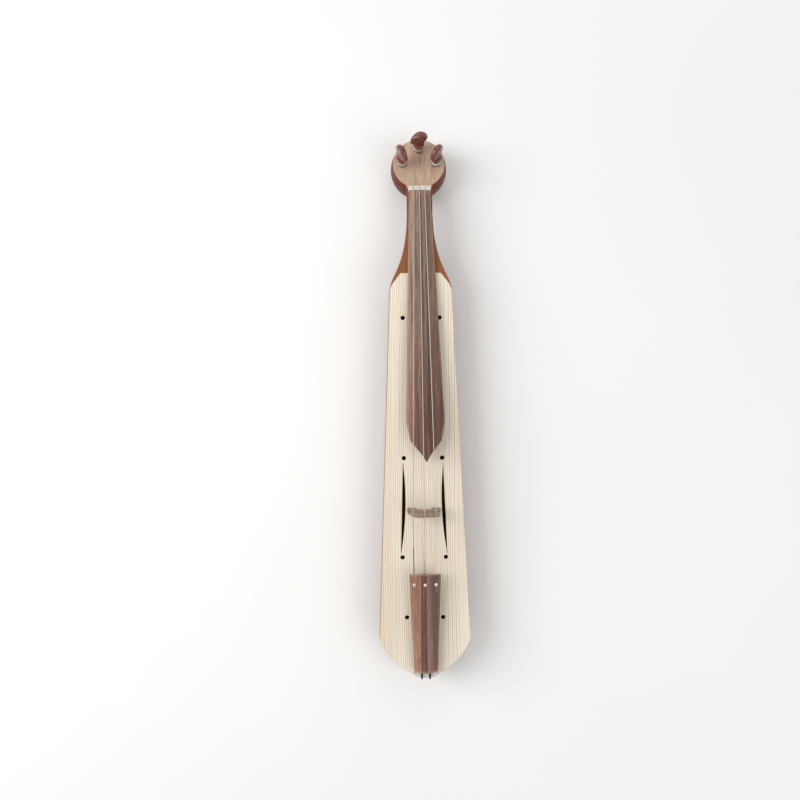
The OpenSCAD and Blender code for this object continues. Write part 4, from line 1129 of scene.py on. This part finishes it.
# end pin: turned, with a groove for the tail cord and a domed head; the profile's height runs out of the tail
pin = {
    "d": 8, "l": 12, "headD": 13, "headL": 5.5, "ease": 0.4, "backEase": 0.5,
    "frontEase": ((0, -0.8), (0.3, -0.1)), "domeFrom": 0.9, "domeTo": 0.6, "domeSteps": 10, "round": 64,
}
pinR, pinHeadR, grooveR = pin["d"] / 2, pin["headD"] / 2, cord["grooveD"] / 2
shoulder, inner = -tailY, -tailY - pin["l"]
headBack = -(cordDropY - cord["d"] / 2 - cord["clear"])
domeTop = headBack + pin["headL"]
domeEdge = domeTop - sag(pin["headD"], pinHeadR)
pinProfile = [(0, inner), (pinR - pin["ease"], inner), (pinR, inner + pin["ease"]), (pinR, shoulder)]
pinProfile += [(grooveR, shoulder), (grooveR, headBack)]
pinProfile += [(pinHeadR - pin["backEase"], headBack), (pinHeadR, headBack + pin["backEase"])]
pinProfile += [(pinHeadR - inset, domeEdge + up) for inset, up in pin["frontEase"]]
pinProfile += [
    (x, domeTop - sag(pin["headD"], x))
    for x in evenly(pinHeadR - pin["domeFrom"], pin["domeTo"], pin["domeSteps"])
]
pinPoints, pinFaces = turnedMesh(pinProfile + [(0, domeTop)], pin["round"])
pinPoints = [(x, -z, y + cord["pinZ"]) for x, y, z in pinPoints]
tailPin = addMesh("tailPin", pinPoints, pinFaces, polishedPlum)
standFor(tailPin, "end_pin", "fiddle", "peg_wood")


# pegs: tapered shaft, collar and a scooped grip
grip = {
    "scoop": 0.3, "scoopW": 6.2, "scoopZ": 8.2, "scoopH": 5.2, "power": 2.6, "neck": 4.6, "closeW": 4,
    "thin": 0.35, "thinFrom": 0.45, "thinCurve": 1.5, "sunk": 0.8, "topGap": 0.02, "rowCurve": 1.6,
    "rows": 40, "round": 56,
}
shaftEase = {
    "tail": ((0.7, 0), (0.15, 0.3), (0, 0.9)), "flare": (0.4, 0.5), "collarR": 1.0, "collarStep": 15,
    "collarTop": 1.6, "lift": 0.3, "round": 64,
}


def gripWidth(z):
    # half the width of the grip at a height over the collar
    gripR = peg["gripW"] / 2
    middle = peg["gripH"] - gripR
    if z > middle:
        return math.sqrt(max(0, gripR ** 2 - (z - middle) ** 2))
    t = max(0, z / middle)
    return mix(grip["neck"], gripR, t * t * (3 - 2 * t))


def gripThickness(z):
    past = max(0, z / peg["gripH"] - grip["thinFrom"])
    return peg["gripT"] / 2 * (1 - grip["thin"] * past ** grip["thinCurve"])


def gripRow(z):
    w = gripWidth(z)
    b = gripThickness(z) * math.sqrt(min(1, w / grip["closeW"]))
    row = []
    for k in range(grip["round"]):
        a = 360 * k / grip["round"]
        x, y = [
            size * math.copysign(abs(way) ** (2 / grip["power"]), way)
            for size, way in ((w, cos(a)), (b, sin(a)))
        ]
        dish = math.exp(-(x / grip["scoopW"]) ** 2 - ((z - grip["scoopZ"]) / grip["scoopH"]) ** 2)
        row.append((x, y * (1 - grip["scoop"] * dish), z))
    return row


tailEnd, stem, collarHalf = -(head["t"] + peg["tail"]), peg["stem"], peg["collarT"] / 2
foot = stem + peg["collarT"]
flareOut, flareL = shaftEase["flare"]
collarX = peg["collarD"] / 2 - shaftEase["collarR"]
shaft = [(0, tailEnd)] + [(shaftR(tailEnd) - inset, tailEnd + up) for inset, up in shaftEase["tail"]]
shaft += [(shaftR(0), 0), (shaftR(0), stem - flareL), (shaftR(0) + flareOut, stem)]
shaft += [
    (collarX + shaftEase["collarR"] * cos(a), stem + collarHalf + collarHalf * sin(a))
    for a in range(-75, 76, shaftEase["collarStep"])
]
shaftTop = foot + shaftEase["lift"]
shaft += [(peg["collarD"] / 2 - shaftEase["collarTop"], foot), (grip["neck"], shaftTop), (0, shaftTop)]
shaftPoints, shaftFaces = turnedMesh(shaft, shaftEase["round"])
gripTop = peg["gripH"] - grip["topGap"]
heights = [-grip["sunk"]]
heights += [gripTop * (1 - (1 - t) ** grip["rowCurve"]) for t in evenly(0, 1, grip["rows"])]
gripPoints = [(x, y, z + foot) for h in heights for x, y, z in gripRow(h)]
gripFaces = [tuple(v + len(shaftPoints) for v in f) for f in loftFaces(len(heights), grip["round"])]
pegKinds = [
    ("lowPeg", "peg_low", "low_peg"),
    ("middlePeg", "peg_middle", "middle_peg"),
    ("highPeg", "peg_high", "high_peg"),
]
for (name, node, body), spot, turn in zip(pegKinds, pegSpots, peg["turn"]):
    turnedGrip = moved(gripPoints, Matrix.Rotation(math.radians(turn), 4, "Z"))
    pegPoints = atPeg(shaftPoints + turnedGrip, spot)
    pegPiece = addMesh(name, pegPoints, shaftFaces + gripFaces, polishedPlum, 40)
    standFor(pegPiece, node, body, "peg_wood")
print("pegs turned")


# nodes that keep their own shape, with eased edges
keptNodes = [
    ("nut", polishedBone, 0.3), ("saddle", polishedBone, 0.35), ("sound_post", planedPine, 0.2),
    ("bass_bar", planedPine, 0.4),
]
for name, material, width in keptNodes:
    kept = nodes[name]
    kept.data.materials.clear()
    kept.data.materials.append(material)
    bevel = kept.modifiers.new("eased edges", "BEVEL")
    bevel.width = width * mm
    bevel.segments = 2
    bevel.limit_method = "ANGLE"
    bevel.angle_limit = math.radians(40)


# floor and light: a pale floor, a wide window-like key from the left and a soft fill
studio = {
    "floor": "#F4F3F1", "floorShade": "#F2F1EF", "floorR": 1.6, "floorSteps": 72, "floorZ": -0.0002,
    "middle": (0, 110, 0), "fadeFrom": 420, "fadeTo": 1150, "sky": 0.55, "aim": (0, 0.1, 0.03),
}
lamps = [
    {"name": "window", "place": (-1.15, 0.35, 1.1), "size": (0.9, 1.3), "watts": 16.0},
    {"name": "fill", "place": (0.9, -0.35, 1.25), "size": (1.0, 1.0), "watts": 5.0},
    {"name": "headEnd", "place": (0.1, 1.4, 0.9), "size": (1.0, 0.6), "watts": 2.0},
]


def seenByEye(add):
    # 1 for what the eye sees, straight or mirrored, and 0 for what only lights the scene
    rays = add("LightPath").outputs
    mirrors = add("Math", {0: rays["Is Glossy Ray"], 1: rays["Is Transmission Ray"]}, operation="MAXIMUM")
    return add("Math", {0: rays["Is Camera Ray"], 1: mirrors}, operation="MAXIMUM")


floorMaterial, add, surface, place = newMaterial("pale floor")
cloud = add("TexNoise", {"Vector": place, "Scale": 0.004, "Detail": 2.0})
tone = setRamp(add("ValToRGB", {0: cloud}), [(0.3, studio["floorShade"]), (0.7, studio["floor"])])
plug(surface, {"Base Color": tone, "Roughness": 0.9, "Specular IOR Level": 0.1})
# far from the fiddle the eye sees the floor fade into the white round it; the light does not
away = add("VectorMath", {0: place, 1: studio["middle"]}, operation="DISTANCE")
fadeRange = {0: away, 1: studio["fadeFrom"], 2: studio["fadeTo"]}
fade = add("MapRange", fadeRange, interpolation_type="SMOOTHSTEP")
share = add("Math", {0: fade, 1: seenByEye(add)}, operation="MULTIPLY")
white = add("Emission", {"Color": (1, 1, 1, 1), "Strength": 1.0})
faded = add("MixShader", {0: share, 1: surface, 2: white})
plug(floorMaterial.node_tree.nodes["Material Output"], {"Surface": faded})
floorTurns = [360 / studio["floorSteps"] * k for k in range(studio["floorSteps"])]
floorRim = [(studio["floorR"] * cos(a), studio["floorR"] * sin(a), 0) for a in floorTurns]
floorMesh = bpy.data.meshes.new("floor")
floorMesh.from_pydata(floorRim, [], [tuple(range(len(floorRim)))])
floorMesh.materials.append(floorMaterial)
floor = bpy.data.objects.new("floor", floorMesh)
floor.location.z = studio["floorZ"]
scene.collection.objects.link(floor)

world = bpy.data.worlds.new("studio")
scene.world = world
world.use_nodes = True
world.node_tree.nodes.clear()
add = partial(addNode, world.node_tree)
strength = add("MapRange", {0: seenByEye(add), 3: studio["sky"], 4: 1.0})
sky = add("Background", {"Color": (1, 1, 1, 1), "Strength": strength})
add("OutputWorld", {"Surface": sky})

for lamp in lamps:
    light = bpy.data.lights.new(lamp["name"], "AREA")
    light.shape = "RECTANGLE"
    light.size, light.size_y = lamp["size"]
    light.energy = lamp["watts"]
    stand = bpy.data.objects.new(lamp["name"], light)
    stand.location = lamp["place"]
    way = Vector(studio["aim"]) - Vector(lamp["place"])
    stand.rotation_euler = way.to_track_quat("-Z", "Y").to_euler()
    stand.visible_camera = False
    scene.collection.objects.link(stand)
print("stage lit")

bpy.context.view_layer.update()
